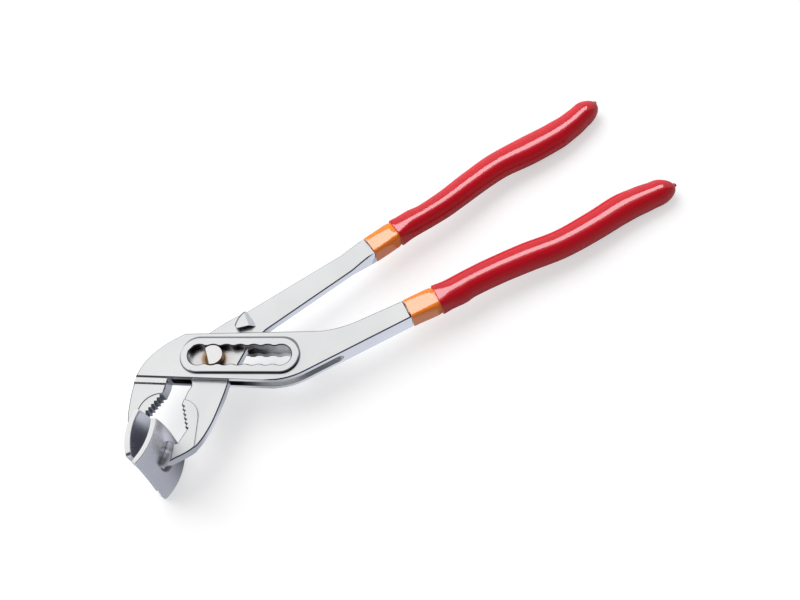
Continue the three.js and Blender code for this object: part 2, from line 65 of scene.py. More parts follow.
def to_frame(points):
    """Turns slot-plane points in millimetres by minus the head angle about Z, lifts them to the
    middle plane's height and gives metres."""
    p = np.asarray(points, float)
    c, s = math.cos(HEAD_ANGLE), math.sin(HEAD_ANGLE)
    x, y, z = p[..., 0], p[..., 1], p[..., 2]
    return np.stack([x * c + y * s, y * c - x * s, z + MIDDLE_HEIGHT], -1) * MM


print("pin centre in the frame", to_frame([0, 0, 0]))

# %% [markdown]
# The pin, the coats, the plates and the welds are closed, smooth bodies. They could be made from Blender's
# own shapes and cut to size. A skin over rings of points is shorter and exact: a grid whose rows close on
# themselves, with one pole point at each end. Whole index arrays make its faces, and the sign of the
# enclosed volume tells whether they point outwards.


# %% A closed skin from rings of points
def put_in_scene(name, data):
    """A new object at the origin that holds a mesh, a lamp or a camera."""
    thing = bpy.data.objects.new(name, data)
    bpy.context.scene.collection.objects.link(thing)
    return thing


def skin(name, rings, first_pole, last_pole):
    """Joins ring i's point k to its neighbours k + 1 and i + 1 by a quad, and closes both ends by a
    fan to a pole. Faces are turned round if the sum of a . (b x c) / 6 over triangles is negative."""
    n, m, _ = rings.shape
    k = np.arange(m)
    after = (k + 1) % m
    row = np.arange(n - 1)[:, None] * m
    quads = np.stack([row + k, row + after, row + m + after, row + m + k], -1).reshape(-1, 4)
    first = np.stack([np.full(m, n * m), after, k], -1)
    last = np.stack([np.full(m, n * m + 1), (n - 1) * m + k, (n - 1) * m + after], -1)
    points = np.concatenate([rings.reshape(-1, 3), [first_pole], [last_pole]])
    triangles = np.concatenate([quads[:, [0, 1, 2]], quads[:, [0, 2, 3]], first, last])
    a, b, c = (points[triangles[:, j]] for j in range(3))
    volume = np.einsum("ij,ij->i", a, np.cross(b, c)).sum() / 6
    faces = [f[:, ::-1] if volume < 0 else f for f in (quads, first, last)]
    mesh = bpy.data.meshes.new(name)
    mesh.from_pydata(points.tolist(), [], [face for f in faces for face in f.tolist()])
    mesh.shade_smooth()
    print(name, len(triangles), "triangles,", round(abs(volume) / MM**3), "mm3")
    return put_in_scene(name, mesh)


# %% [markdown]
# The camera stands where the photograph was taken from: about 62 degrees above the tool, rolled so that
# the slot lies level in the picture. It could be set by eye. Instead its place and its axes were worked out
# from the slot, the pin and the arms' thickness as they appear in the photograph, so that sizes can
# be compared.

# %% Camera
CAMERA_PLACE = Vector((0.02418, -0.31136, 0.57744))
CAMERA_RIGHT = Vector((0.88602, -0.44743, -0.12160))
CAMERA_UP = Vector((0.45061, 0.76918, 0.45311))
SENSOR_WIDTH = 36
LENS = 58.5

camera = put_in_scene("camera", bpy.data.cameras.new("camera"))
axes = Matrix((CAMERA_RIGHT, CAMERA_UP, CAMERA_RIGHT.cross(CAMERA_UP))).transposed()
camera.matrix_world = Matrix.Translation(CAMERA_PLACE) @ axes.to_4x4()
camera.data.sensor_width = SENSOR_WIDTH
camera.data.lens = LENS
bpy.context.scene.camera = camera
bpy.context.scene.view_settings.view_transform = "Standard"
print("camera at", [round(v, 4) for v in camera.matrix_world.translation])

# %% [markdown]
# Every finish is a node tree. Trees could be wired by hand, line by line, but the same few moves come
# back all the time. So there are five small helpers: one feeds an input, one adds a node, one starts a
# group with named sockets, one starts a material with its Principled shader, and one places a group.


# %% Helpers for node trees
def feed(tree, socket, value):
    """Links another socket to an input, or sets a plain value on it."""
    if isinstance(value, bpy.types.NodeSocket):
        tree.links.new(value, socket)
    else:
        socket.default_value = value


def add(tree, kind, inputs=(), **properties):
    """A new shader node, with its properties set and its named inputs fed."""
    node = tree.nodes.new("ShaderNode" + kind)
    for name, value in properties.items():
        setattr(node, name, value)
    for name, value in dict(inputs).items():
        feed(tree, node.inputs[name], value)
    return node


def start_group(name, inputs, outputs):
    """A group's empty tree, with the sockets that its nodes read from and write to."""
    tree = bpy.data.node_groups.new(name, "ShaderNodeTree")
    for label, default in inputs.items():
        socket = tree.interface.new_socket(label, in_out="INPUT", socket_type="NodeSocketFloat")
        socket.default_value = default
    for label in outputs:
        tree.interface.new_socket(label, in_out="OUTPUT", socket_type="NodeSocketFloat")
    return tree, tree.nodes.new("NodeGroupInput").outputs, tree.nodes.new("NodeGroupOutput").inputs


def start_material(name, **plain):
    """A material with plain values on its Principled shader, its tree and that shader's inputs."""
    material = bpy.data.materials.new(name)
    material.use_nodes = True
    shader = material.node_tree.nodes["Principled BSDF"]
    for label, value in plain.items():
        shader.inputs[label.replace("_", " ")].default_value = value
    return material, material.node_tree, shader.inputs


def place_group(tree, group, **values):
    """The outputs of a group placed in a tree with its own values."""
    node = add(tree, "Group", node_tree=group)
    for label, value in values.items():
        node.inputs[label].default_value = value
    return node.outputs


# %% [markdown]
# The first shared effect is a surface's small unevenness. Steel that is blasted before plating has a
# fine grain, and a dipped coat has slow waves. Both could be modelled, but they are far smaller than the
# mesh. So they are noise on the piece's own coordinates: a fine one for height, a broad one for tone.

# %% Group: uneven surface
TONE_SPREAD = {"From Min": 0.3, "From Max": 0.7}

uneven, given, result = start_group(
    "uneven_surface", {"Grain": 2500.0, "Cloud": 45.0}, ["Height", "Tone"]
)
place = add(uneven, "TexCoord").outputs["Object"]
grain = add(uneven, "TexNoise", {"Vector": place, "Scale": given["Grain"], "Detail": 3.0})
cloud = add(uneven, "TexNoise", {"Vector": place, "Scale": given["Cloud"], "Detail": 4.0})
spread = {"Value": cloud.outputs["Fac"], **TONE_SPREAD}
tone = add(uneven, "MapRange", spread, interpolation_type="SMOOTHSTEP")
uneven.links.new(grain.outputs["Fac"], result["Height"])
uneven.links.new(tone.outputs["Result"], result["Tone"])
print("group", uneven.name, len(uneven.nodes), "nodes")

# %% [markdown]
# The second shared effect is what the joint collects, and some painted shade. Oil has dried dark on the
# walls of the slot and of the box near the pin, which also get a painted shade, and left a thin tan ring
# round the pin on the inner arm. Such stains could be painted on the mesh. Here they are masks, and a mask
# is a product of a few distances, each with a place where it is full and a place where it has faded out.


# %% Masks from distances
def calculate(tree, operation, *values):
    """The result of a Math node."""
    node = add(tree, "Math", operation=operation)
    for socket, value in zip(node.inputs, values):
        feed(tree, socket, value)
    return node.outputs[0]


def product(tree, *factors):
    """All the factors multiplied."""
    whole = factors[0]
    for factor in factors[1:]:
        whole = calculate(tree, "MULTIPLY", whole, factor)
    return whole


def fade(tree, value, full, none):
    """1 at full, 0 at none, eased between."""
    span = {"Value": value, "From Min": none, "From Max": full}
    return add(tree, "MapRange", span, interpolation_type="SMOOTHSTEP").outputs["Result"]


def off_middle(tree, value, middle):
    """How far a value is from a middle one, either way."""
    return calculate(tree, "ABSOLUTE", calculate(tree, "SUBTRACT", value, middle))


def plan_distance(tree, place, middle):
    """Distance from a place to a middle point, with the height left out."""
    flat = add(tree, "VectorMath", operation="MULTIPLY")
    away = add(tree, "VectorMath", operation="DISTANCE")
    feed(tree, flat.inputs[0], place)
    feed(tree, flat.inputs[1], (1, 1, 0))
    feed(tree, away.inputs[0], flat.outputs[0])
    feed(tree, away.inputs[1], (*middle, 0))
    return away.outputs["Value"]


# %% [markdown]
# The grime and painted shade follow the joint, which lies at an angle in the frame. An empty object at the
# slot could give the coordinates, but a finish that reads another object is lost in an export. So a Mapping
# node turns the frame's coordinates back to the slot's, in metres, and all distances are measured there.

# %% Group: joint grime and painted shade, its coordinates
NOTCH_PITCH = 6.85 * MM
SLOT_MIDDLE = 2 * NOTCH_PITCH
PATCH_SCALE = 180.0

grime_and_shade, given, result = start_group("joint_grime_and_shade", {"Patch": PATCH_SCALE}, ["OilAndShade", "Ring", "StepFootShade"])
turn_back = {"Rotation": (0, 0, HEAD_ANGLE), "Location": (0, 0, -MIDDLE_HEIGHT * MM)}
place = add(grime_and_shade, "TexCoord").outputs["Object"]
local = add(grime_and_shade, "Mapping", {"Vector": place, **turn_back}).outputs["Vector"]
axis = add(grime_and_shade, "SeparateXYZ", {"Vector": local}).outputs
from_pin = plan_distance(grime_and_shade, local, (0, 0))
from_mid_plane = calculate(grime_and_shade, "ABSOLUTE", axis["Z"])
along_slot = off_middle(grime_and_shade, axis["X"], SLOT_MIDDLE)
print("the slot's middle is", round(SLOT_MIDDLE / MM, 2), "mm from the pin")

# %% [markdown]
# Oil creeps from the pin along the slot and into the box, and gets thinner on its way. Its dark colour is
# also painted shade in these recesses. One round spot would also stain the faces outside. So the slot and
# the box are each cut out by their own sides, ends and depth, and a noise breaks the stain into patches.

# %% Group: joint grime and painted shade, oil and shade on the walls, and the ring round the pin
SLOT_SIDE = 5.3 * MM, 5.6 * MM
SLOT_END = 25.7 * MM, 26.3 * MM
SLOT_TOP = 6.0 * MM, 6.6 * MM
SLOT_OIL_AND_SHADE = 15 * MM, 44 * MM
BOX_MIDDLE = 22.0 * MM
BOX_TOP = 2.72 * MM, 2.76 * MM
BOX_END = 42.4 * MM, 42.8 * MM
BOX_OIL_AND_SHADE = 14 * MM, 28 * MM
RING_CLOSE = 5.3 * MM, 7.0 * MM
RING_WIDE = 5.0 * MM, 12.0 * MM
RING_TOP = 3.0 * MM, 3.4 * MM
CLOSE_SHARE = 0.75
PATCHES = 0.44, 0.16

in_slot = product(
    grime_and_shade,
    fade(grime_and_shade, calculate(grime_and_shade, "ABSOLUTE", axis["Y"]), *SLOT_SIDE),
    fade(grime_and_shade, along_slot, *SLOT_END),
    fade(grime_and_shade, from_mid_plane, *SLOT_TOP),
    fade(grime_and_shade, from_pin, *SLOT_OIL_AND_SHADE),
)
in_box = product(
    grime_and_shade,
    fade(grime_and_shade, from_mid_plane, *BOX_TOP),
    fade(grime_and_shade, off_middle(grime_and_shade, axis["X"], BOX_MIDDLE), *BOX_END),
    fade(grime_and_shade, from_pin, *BOX_OIL_AND_SHADE),
)
patches = add(grime_and_shade, "TexNoise", {"Vector": place, "Scale": given["Patch"], "Detail": 3.0})
broken_up = fade(grime_and_shade, patches.outputs["Fac"], *PATCHES)
# dried oil and painted shade on the walls of the slot and the box
oil_and_shade = product(grime_and_shade, calculate(grime_and_shade, "MAXIMUM", in_slot, in_box), broken_up)
close = calculate(grime_and_shade, "MULTIPLY", fade(grime_and_shade, from_pin, *RING_CLOSE), CLOSE_SHARE)
wide = calculate(grime_and_shade, "MULTIPLY", fade(grime_and_shade, from_pin, *RING_WIDE), 1 - CLOSE_SHARE)
under_heads = fade(grime_and_shade, from_mid_plane, *RING_TOP)
ring = product(grime_and_shade, calculate(grime_and_shade, "ADD", close, wide), broken_up, under_heads)
grime_and_shade.links.new(oil_and_shade, result["OilAndShade"])
grime_and_shade.links.new(ring, result["Ring"])
print("oil on the slot's walls fades out", round(SLOT_OIL_AND_SHADE[1] / MM), "mm from the pin")

# %% [markdown]
# Shade falls in the corner at the foot of each low step. In the photograph it draws thin dark outlines round
# the boss, the stop lug and the toothed pad. Grooves could be cut there, but lines this thin need no shape.
# So each outline is painted shade, a mask as well: a line round a long slot shape for the boss, and parts of
# circles for the lug and the pad. The boss hides its own foot on the upper side, so the line is wider there.

# %% Group: joint grime and painted shade, painted shade at the feet of the steps
ARM_HALF = 5.4 * MM
ON_FACE = 0.1 * MM, 0.4 * MM
BOSS_STRAIGHT = 3 * NOTCH_PITCH
BOSS_R = 9.1 * MM
FOOT_HALF = {"From Min": 4.0 * MM, "From Max": BOSS_R, "To Min": 0.2 * MM, "To Max": 0.6 * MM}
FOOT_SOFT = 0.4 * MM
LINE = 0.3 * MM, 0.6 * MM
LUG_MIDDLE, LUG_EDGE_R = (22.2 * MM, 14.8 * MM), 12.9 * MM
LUG_LEFT, LUG_UPPER = (13.8 * MM, 14.2 * MM), (15.8 * MM, 15.4 * MM)
PAD_MIDDLE, PAD_EDGE_R = (-13.0 * MM, -31.0 * MM), 9.1 * MM
PAD_UPPER, PAD_FACE = (-30.0 * MM, -32.0 * MM), (3.0 * MM, 2.8 * MM)


def circle_line(tree, place, middle, radius):
    """1 on a thin line along a circle in the slot's plane, 0 beside it."""
    return fade(tree, off_middle(tree, plan_distance(tree, place, middle), radius), *LINE)


# painted shade: dark lines at the feet of the boss, the stop lug and the toothed pad
past_end = calculate(grime_and_shade, "SUBTRACT", along_slot, BOSS_STRAIGHT)
past_end = calculate(grime_and_shade, "MAXIMUM", past_end, 0.0)
squares = [product(grime_and_shade, length, length) for length in (past_end, axis["Y"])]
from_spine = calculate(grime_and_shade, "SQRT", calculate(grime_and_shade, "ADD", *squares))
outside = calculate(grime_and_shade, "SUBTRACT", from_spine, BOSS_R)
half = add(grime_and_shade, "MapRange", {"Value": axis["Y"], **FOOT_HALF}).outputs["Result"]
faded = calculate(grime_and_shade, "ADD", half, FOOT_SOFT)
on_face = fade(grime_and_shade, off_middle(grime_and_shade, from_mid_plane, ARM_HALF), *ON_FACE)
boss_foot = product(grime_and_shade, fade(grime_and_shade, off_middle(grime_and_shade, outside, half), half, faded), on_face)
lug_edge = product(
    grime_and_shade,
    circle_line(grime_and_shade, local, LUG_MIDDLE, LUG_EDGE_R),
    fade(grime_and_shade, axis["X"], *LUG_LEFT),
    fade(grime_and_shade, axis["Y"], *LUG_UPPER),
    on_face,
)
pad_edge = product(
    grime_and_shade,
    circle_line(grime_and_shade, local, PAD_MIDDLE, PAD_EDGE_R),
    fade(grime_and_shade, axis["Y"], *PAD_UPPER),
    fade(grime_and_shade, from_mid_plane, *PAD_FACE),
)
painted_step_foot_shade = calculate(grime_and_shade, "MAXIMUM", boss_foot, calculate(grime_and_shade, "MAXIMUM", lug_edge, pad_edge))
grime_and_shade.links.new(painted_step_foot_shade, result["StepFootShade"])
print("group", grime_and_shade.name, len(grime_and_shade.nodes), "nodes")

# %% [markdown]
# The arms are forged steel, blasted and chrome plated: a pale satin metal, very even. Their level faces
# were ground flat before the blasting. Their walls keep the smoother skin of the forging, which mirrors the
# table. Two materials on two sets of faces could show that, but the edge between them would be hard. So
# one material tells the two apart by how level the surface lies. The walls of low steps get a painted shade.


# %% Plated steel
IS_LEVEL = 0.99, 0.75
# painted shade: the walls of low steps are painted near black
PAINTED_STEP_WALL_SHADE = (0.10, 0.10, 0.12)
TARNISH = (0.30, 0.30, 0.34)
# painted shade at the feet of the steps
PAINTED_STEP_FOOT_GREY = (0.22, 0.225, 0.25)
TONE_ROUGHNESS = 0.05
GRAIN_DEPTH = 0.1 * MM


def blend(tree, factor, first, second):
    """Mixes two colours by a factor; either one may be a socket."""
    node = add(tree, "Mix", {"Factor": factor}, data_type="RGBA")
    for socket, value in ((node.inputs[6], first), (node.inputs[7], second)):
        feed(tree, socket, value if isinstance(value, bpy.types.NodeSocket) else (*value, 1))
    return node.outputs[2]


def steel(name, level, wall, dull, smooth, grain, cloud, bump, stain_and_shade=None, patchy=0.07):
    """A metal whose colour goes from wall to level face, and its roughness from smooth to dull. Both vary a
    little with the tone. The walls of low steps get a painted shade. A stain is the name of a mask of the
    joint's grime and painted shade, and its colour; it brings lines of painted shade at the feet of steps."""
    material, tree, shader = start_material(name, Metallic=1.0)
    surface = place_group(tree, uneven, Grain=grain, Cloud=cloud)
    normal = add(tree, "NewGeometry").outputs["Normal"]
    upright = calculate(tree, "ABSOLUTE", add(tree, "SeparateXYZ", {"Vector": normal}).outputs["Z"])
    lies_level = fade(tree, upright, *IS_LEVEL)
    shade = blend(tree, lies_level, wall, level)
    in_step = add(tree, "Attribute", attribute_name="low_step").outputs["Fac"]
    # painted shade on the walls of low steps
    shade = blend(tree, in_step, shade, PAINTED_STEP_WALL_SHADE)
    shade = blend(tree, calculate(tree, "MULTIPLY", surface["Tone"], patchy), shade, TARNISH)
    if stain_and_shade:
        mask, colour = stain_and_shade
        # the joint's grime and painted shade
        joint_masks = place_group(tree, grime_and_shade, Patch=PATCH_SCALE)
        # painted shade: grey lines at the feet of the steps
        shade = blend(tree, joint_masks["StepFootShade"], shade, PAINTED_STEP_FOOT_GREY)
        shade = blend(tree, joint_masks[mask], shade, colour)
    tree.links.new(shade, shader["Base Color"])
    span = {"Value": lies_level, "To Min": smooth, "To Max": dull}
    rough = add(tree, "MapRange", span).outputs["Result"]
    uneven_part = calculate(tree, "MULTIPLY", surface["Tone"], TONE_ROUGHNESS)
    tree.links.new(calculate(tree, "ADD", rough, uneven_part), shader["Roughness"])
    lumps = add(tree, "Bump", {"Height": surface["Height"], "Strength": bump, "Distance": GRAIN_DEPTH})
    tree.links.new(lumps.outputs["Normal"], shader["Normal"])
    return material


# %% [markdown]
# Both arms share one chrome and differ in their stains and painted shade. The pin is polished by use on its
# ends and brown on its sides. The broken edges of the arms are polished too. In the photograph the room
# draws dark lines along them, which depend on where its walls stand. A darker chrome of their own, a painted
# reflection, gives the same lines in any room.

# %% Chrome of the arms and the pin, and the painted reflection of the broken edges
ARM_CHROME = {
    "level": (0.81, 0.815, 0.82),
    "wall": (0.71, 0.73, 0.78),
    "dull": 0.27,
    "smooth": 0.15,
    "grain": 2600,
    "cloud": 40,
    "bump": 0.18,
}
# painted reflection: a dark chrome for the broken edges
EDGE_PAINTED_REFLECTION = {
    **ARM_CHROME,
    "level": (0.24, 0.25, 0.29),
    "wall": (0.15, 0.155, 0.19),
    "dull": 0.20,
    "smooth": 0.14,
    "bump": 0.10,
}
PIN_CHROME = {
    "level": (0.84, 0.84, 0.84),
    "wall": (0.34, 0.23, 0.15),
    "dull": 0.20,
    "smooth": 0.30,
    "grain": 1800,
    "cloud": 120,
    "bump": 0.08,
}
# dried oil and painted shade on the walls of the slot and the box
slotted_steel = steel("slotted_arm_chrome", **ARM_CHROME, stain_and_shade=("OilAndShade", (0.065, 0.046, 0.038)))
inner_steel = steel("inner_arm_chrome", **ARM_CHROME, stain_and_shade=("Ring", (0.42, 0.26, 0.15)))
pin_steel = steel("pin_chrome", **PIN_CHROME, stain_and_shade=("Ring", (0.16, 0.09, 0.05)))
edge_painted_reflection = steel("broken_edge_painted_reflection", **EDGE_PAINTED_REFLECTION)
print("chrome finishes", slotted_steel.name, inner_steel.name, pin_steel.name, edge_painted_reflection.name)

# %% [markdown]
# The plates are sheet steel, plated with the welds on them, with less grain than the arms. They look grey
# because of what they mirror, so their own colour is pale. The weld metal is darker, rough and patchy. Both
# could have materials of their own, but they differ from the arms only in the values of one function.

# %% Plate and weld steel
PLATE_PLATING = {
    "level": (0.84, 0.845, 0.85),
    "wall": (0.74, 0.755, 0.81),
    "dull": 0.26,
    "smooth": 0.24,
    "grain": 1500,
    "cloud": 60,
    "bump": 0.08,
}
WELD_PLATING = {
    "level": (0.62, 0.62, 0.66),
    "wall": (0.54, 0.54, 0.58),
    "dull": 0.52,
    "smooth": 0.50,
    "grain": 900,
    "cloud": 300,
    "bump": 0.10,
    "patchy": 0.4,
}
plate_steel = steel("plate_plated_steel", **PLATE_PLATING)
weld_steel = steel("weld_plated_metal", **WELD_PLATING)
print("plate finishes", plate_steel.name, weld_steel.name)

# %% [markdown]
# The grips are dipped twice in soft vinyl: an orange coat, then a red one that stops short of it. Vinyl
# cures glossy. One plain colour would look like paint. The real colour is a little deeper where the vinyl
# ran thick, so the broad tone mixes two near colours, and a slow, faint wave in the normal keeps the
# highlights from being ruled lines.


# %% Dipped vinyl
VINYL_GLOSS = {"To Min": 0.08, "To Max": 0.11}
VINYL_WAVES = 70
WAVE_STRENGTH, WAVE_DEPTH = 0.012, 0.3 * MM


def vinyl(name, thin, thick, cloud):
    """Glossy plastic whose colour runs from thin to thick with the tone."""
    material, tree, shader = start_material(name, Specular_IOR_Level=0.42)
    surface = place_group(tree, uneven, Grain=VINYL_WAVES, Cloud=cloud)
    tree.links.new(blend(tree, surface["Tone"], thin, thick), shader["Base Color"])
    rough = add(tree, "MapRange", {"Value": surface["Tone"], **VINYL_GLOSS})
    tree.links.new(rough.outputs["Result"], shader["Roughness"])
    height = {"Height": surface["Height"], "Strength": WAVE_STRENGTH, "Distance": WAVE_DEPTH}
    tree.links.new(add(tree, "Bump", height).outputs["Normal"], shader["Normal"])
    return material


red_vinyl = vinyl("red_dipped_vinyl", (0.44, 0.007, 0.015), (0.41, 0.006, 0.0135), 25)
orange_vinyl = vinyl("orange_dipped_vinyl", (0.71, 0.18, 0.017), (0.68, 0.168, 0.015), 40)
print("vinyl finishes", red_vinyl.name, orange_vinyl.name)

# %% [markdown]
# A forged and plated edge is never quite sharp. A bevel on every edge of the arms would fold over itself in
# the notches, the teeth and the low steps. So only the edges between a wide level face and a wall are
# broken, by a bevel weight of one, and every other corner stays sharp. Arrays over all edges find them.


# %% Which edges are broken
SHARP_TURN = math.radians(20)
LEVEL_FROM, WALL_TO = 0.9, 0.3
FLAT_FROM = 0.9995
WIDE_AREA = 150 * MM**2
WALL_TALL = 1.0 * MM
BORE_CLEAR = 4.9 * MM


def read(items, name, kind, size=1):
    """One property of all of a mesh's items, as an array."""
    values = np.empty(len(items) * size, kind)
    items.foreach_get(name, values)
    return values.reshape(-1, size) if size > 1 else values


def edge_breaks(mesh, low):
    """Which edges are broken, which are sharp, and which faces are the walls of steps lower than low.
    With n0, n1 the normals of an edge's two faces and e its direction round the first, the edge stands
    out where (n0 x n1) . e > 0. Such an edge is broken between a wide or sloping top that looks outwards
    and a wall taller than 1 mm, outside the pin's bore. Every other turn of over 20 degrees is sharp."""
    starts, counts = (read(mesh.polygons, name, np.int32) for name in ("loop_start", "loop_total"))
    face_of = np.repeat(np.arange(len(starts)), counts)
    corner = read(mesh.loops, "vertex_index", np.int32)
    following = np.arange(len(corner)) + 1
    following[starts + counts - 1] = starts
    points = read(mesh.vertices, "co", np.float32, 3)
    normal = read(mesh.polygons, "normal", np.float32, 3)
    area = read(mesh.polygons, "area", np.float32)
    high = points[corner, 2]
    tall = np.maximum.reduceat(high, starts) - np.minimum.reduceat(high, starts)
    pair = np.argsort(read(mesh.loops, "edge_index", np.int32), kind="stable").reshape(-1, 2)
    begin = points[corner[pair[:, 0]]]
    way = points[corner[following[pair[:, 0]]]] - begin
    one, other = face_of[pair].T
    turned = np.einsum("ij,ij->i", normal[one], normal[other]) < math.cos(SHARP_TURN)
    stands_out = np.einsum("ij,ij->i", np.cross(normal[one], normal[other]), way) > 0
    upright = np.abs(normal[:, 2])
    top = np.where(upright[one] > upright[other], one, other)
    wall = one + other - top
    wide = (area[top] > WIDE_AREA) | (upright[top] < FLAT_FROM)
    rim = (upright[top] > LEVEL_FROM) & (upright[wall] < WALL_TO) & wide & (tall[wall] > WALL_TALL)
    outwards = normal[top, 2] * (begin[:, 2] - MIDDLE_HEIGHT * MM) > 0
    clear = np.hypot(begin[:, 0], begin[:, 1]) > BORE_CLEAR
    broken = turned & stands_out & rim & outwards & clear
    return broken, turned & ~broken, (upright < WALL_TO) & (tall < low)


# %% [markdown]
# The arms keep their CAD shapes: each is a copy of its CAD mesh. They could be modelled again, but the joint
# has to fit. The copy's triangles are loose, so they are merged, and flat faces are joined, because a Bevel
# only works on edges that two faces share. A Weighted Normal then keeps the wide faces looking flat.

# %% Arms with broken edges
EDGE_BREAK = 0.55
BREAK_STEPS, BREAK_PROFILE = 3, 0.25
MERGE_WITHIN = 0.002 * MM
FLAT_WITHIN = math.radians(0.6)
WIDE_FACES_LEAD = 100


def softened(node, name, material, low_step):
    """A merged copy of a CAD node with broken edges. Walls of steps lower than low_step get painted shade.
    """
    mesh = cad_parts[node].data.copy()
    mesh.name = name
    work = bmesh.new()
    work.from_mesh(mesh)
    bmesh.ops.remove_doubles(work, verts=work.verts, dist=MERGE_WITHIN)
    bmesh.ops.dissolve_limit(work, angle_limit=FLAT_WITHIN, verts=work.verts, edges=work.edges)
    work.to_mesh(mesh)
    work.free()
    if "custom_normal" in mesh.attributes:
        mesh.attributes.remove(mesh.attributes["custom_normal"])
    mesh.materials.clear()
    mesh.materials.append(material)
    mesh.materials.append(edge_painted_reflection)
    mesh.shade_smooth()
    broken, sharp, steps = edge_breaks(mesh, low_step * MM)
    # the walls of low steps, marked for their painted shade
    marks = mesh.attributes.new("low_step", "FLOAT", "FACE")
    marks.data.foreach_set("value", steps.astype(float))
    weights = mesh.attributes.new("bevel_weight_edge", "FLOAT", "EDGE")
    weights.data.foreach_set("value", broken.astype(float))
    mesh.edges.foreach_set("use_edge_sharp", sharp)
    piece = put_in_scene(name, mesh)
    bevel = piece.modifiers.new("broken edges", "BEVEL")
    bevel.width = EDGE_BREAK * MM
    bevel.segments = BREAK_STEPS
    bevel.profile = BREAK_PROFILE
    bevel.limit_method = "WEIGHT"
    bevel.use_clamp_overlap = False
    # the bevel's faces take the painted reflection's dark chrome
    bevel.material = 1
    even = piece.modifiers.new("even faces", "WEIGHTED_NORMAL")
    even.weight = WIDE_FACES_LEAD
    even.keep_sharp = True
    print(name, len(mesh.polygons), "faces,", int(broken.sum()), "edges broken")
    return piece


def fit(piece, body, slot, *nodes):
    """Sets the piece on its body, in place of the CAD nodes named. The slot is not used."""
    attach(piece, body)
    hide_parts(*nodes)


for body, material, low_step in (("slotted_arm", slotted_steel, 1.6), ("inner_arm", inner_steel, 3.2)):
    fit(softened(body, body + "_forging", material, low_step), body, "arm_steel", body)

# %% [markdown]
# The pin is a short bar, round where it goes through the inner arm. Both its ends have a flat, so that it
# locks in the notches of the slot and slides past them when the arm is opened wide. A cylinder could be
# cut by a box. In polar form, a circle cut by a line is one formula, and small round edges close
# it at both ends in the same skin.

# %% Joint pin
PIN_HEAD_R = 5.25
PIN_BODY_R = 4.6
PIN_FLAT_AT = 2.55
PIN_FLAT_TURN = math.radians(199)
PIN_HALF = 7.0
PIN_HEAD_FROM = 2.65
PIN_ROUND = 0.35
PIN_RIM = PIN_ROUND + 0.1
PIN_FACE_RINGS = [2.2, 1.0, PIN_RIM]
PIN_CORNER = 40.0
PIN_POINTS = 128
PIN_SHARP_TURN = math.radians(40)


def joint_pin(name):
    """Rings from one end to the other. A head's radius at angle v is the soft least of R and
    d / cos(v - turn): (R^-n + (cos / d)^n)^(-1/n) with n = 40; the body's is plain R."""
    v = np.linspace(0, 2 * np.pi, PIN_POINTS, endpoint=False)
    towards_flat = np.clip(np.cos(v - PIN_FLAT_TURN), 1e-6, None) / PIN_FLAT_AT
    head = (PIN_HEAD_R**-PIN_CORNER + towards_flat**PIN_CORNER) ** (-1 / PIN_CORNER)
    arc = np.linspace(0, np.pi / 2, 6)
    inset = np.concatenate([PIN_FACE_RINGS, PIN_ROUND * (1 - np.sin(arc)), [0, 0]])
    side = [PIN_RIM, PIN_HALF - PIN_HEAD_FROM]
    z = PIN_HALF - np.concatenate([[0, 0, 0], PIN_ROUND * (1 - np.cos(arc)), side])
    heads = head[None] - inset[:, None]
    body = np.full((2, len(v)), PIN_BODY_R)
    r = np.concatenate([heads, body, heads[::-1]])
    z = np.concatenate([z, [PIN_HEAD_FROM, -PIN_HEAD_FROM], -z[::-1]])
    rings = np.stack([r * np.cos(v), r * np.sin(v), np.broadcast_to(z[:, None], r.shape)], -1)
    piece = skin(name, to_frame(rings), to_frame([0, 0, PIN_HALF]), to_frame([0, 0, -PIN_HALF]))
    piece.data.set_sharp_from_angle(angle=PIN_SHARP_TURN)
    return piece


pin = joint_pin("joint_pin_turned")
pin.data.materials.append(pin_steel)
fit(pin, "pin", "pin_steel", "joint_pin")

# %% [markdown]
# A handle's centreline bows a little from side to side. A Blender curve object could carry it, but the coats
# need its points as arrays. So it is a centripetal Catmull-Rom curve: a smooth curve through listed points,
# whose spacing along it grows with the square root of their distance, which keeps it from overshooting.

# %% Handle centrelines
RATIOS = np.array([0, 0.13, 0.18, 0.23, 0.32, 0.44, 0.56, 0.69, 0.8, 0.87, 0.93, 1])
SLOTTED_BOW = [0, 0.1, 0.15, 0.65, 0.85, 0.15, -1.3, 0.05, 2.1, 2.1, 1.6, 1.55]
INNER_BOW = [0, 0.1, 0.05, -0.5, -0.5, 0.95, 1.7, -0.35, -1.65, -1.35, 0.0, 2.25]
SLOTTED_COLLAR, SLOTTED_ANGLE, SLOTTED_LENGTH = (94.8, 25.4), math.radians(28), 149.7
INNER_COLLAR, INNER_ANGLE, INNER_LENGTH = (73.5, 61.35), math.radians(36.65), 143.1


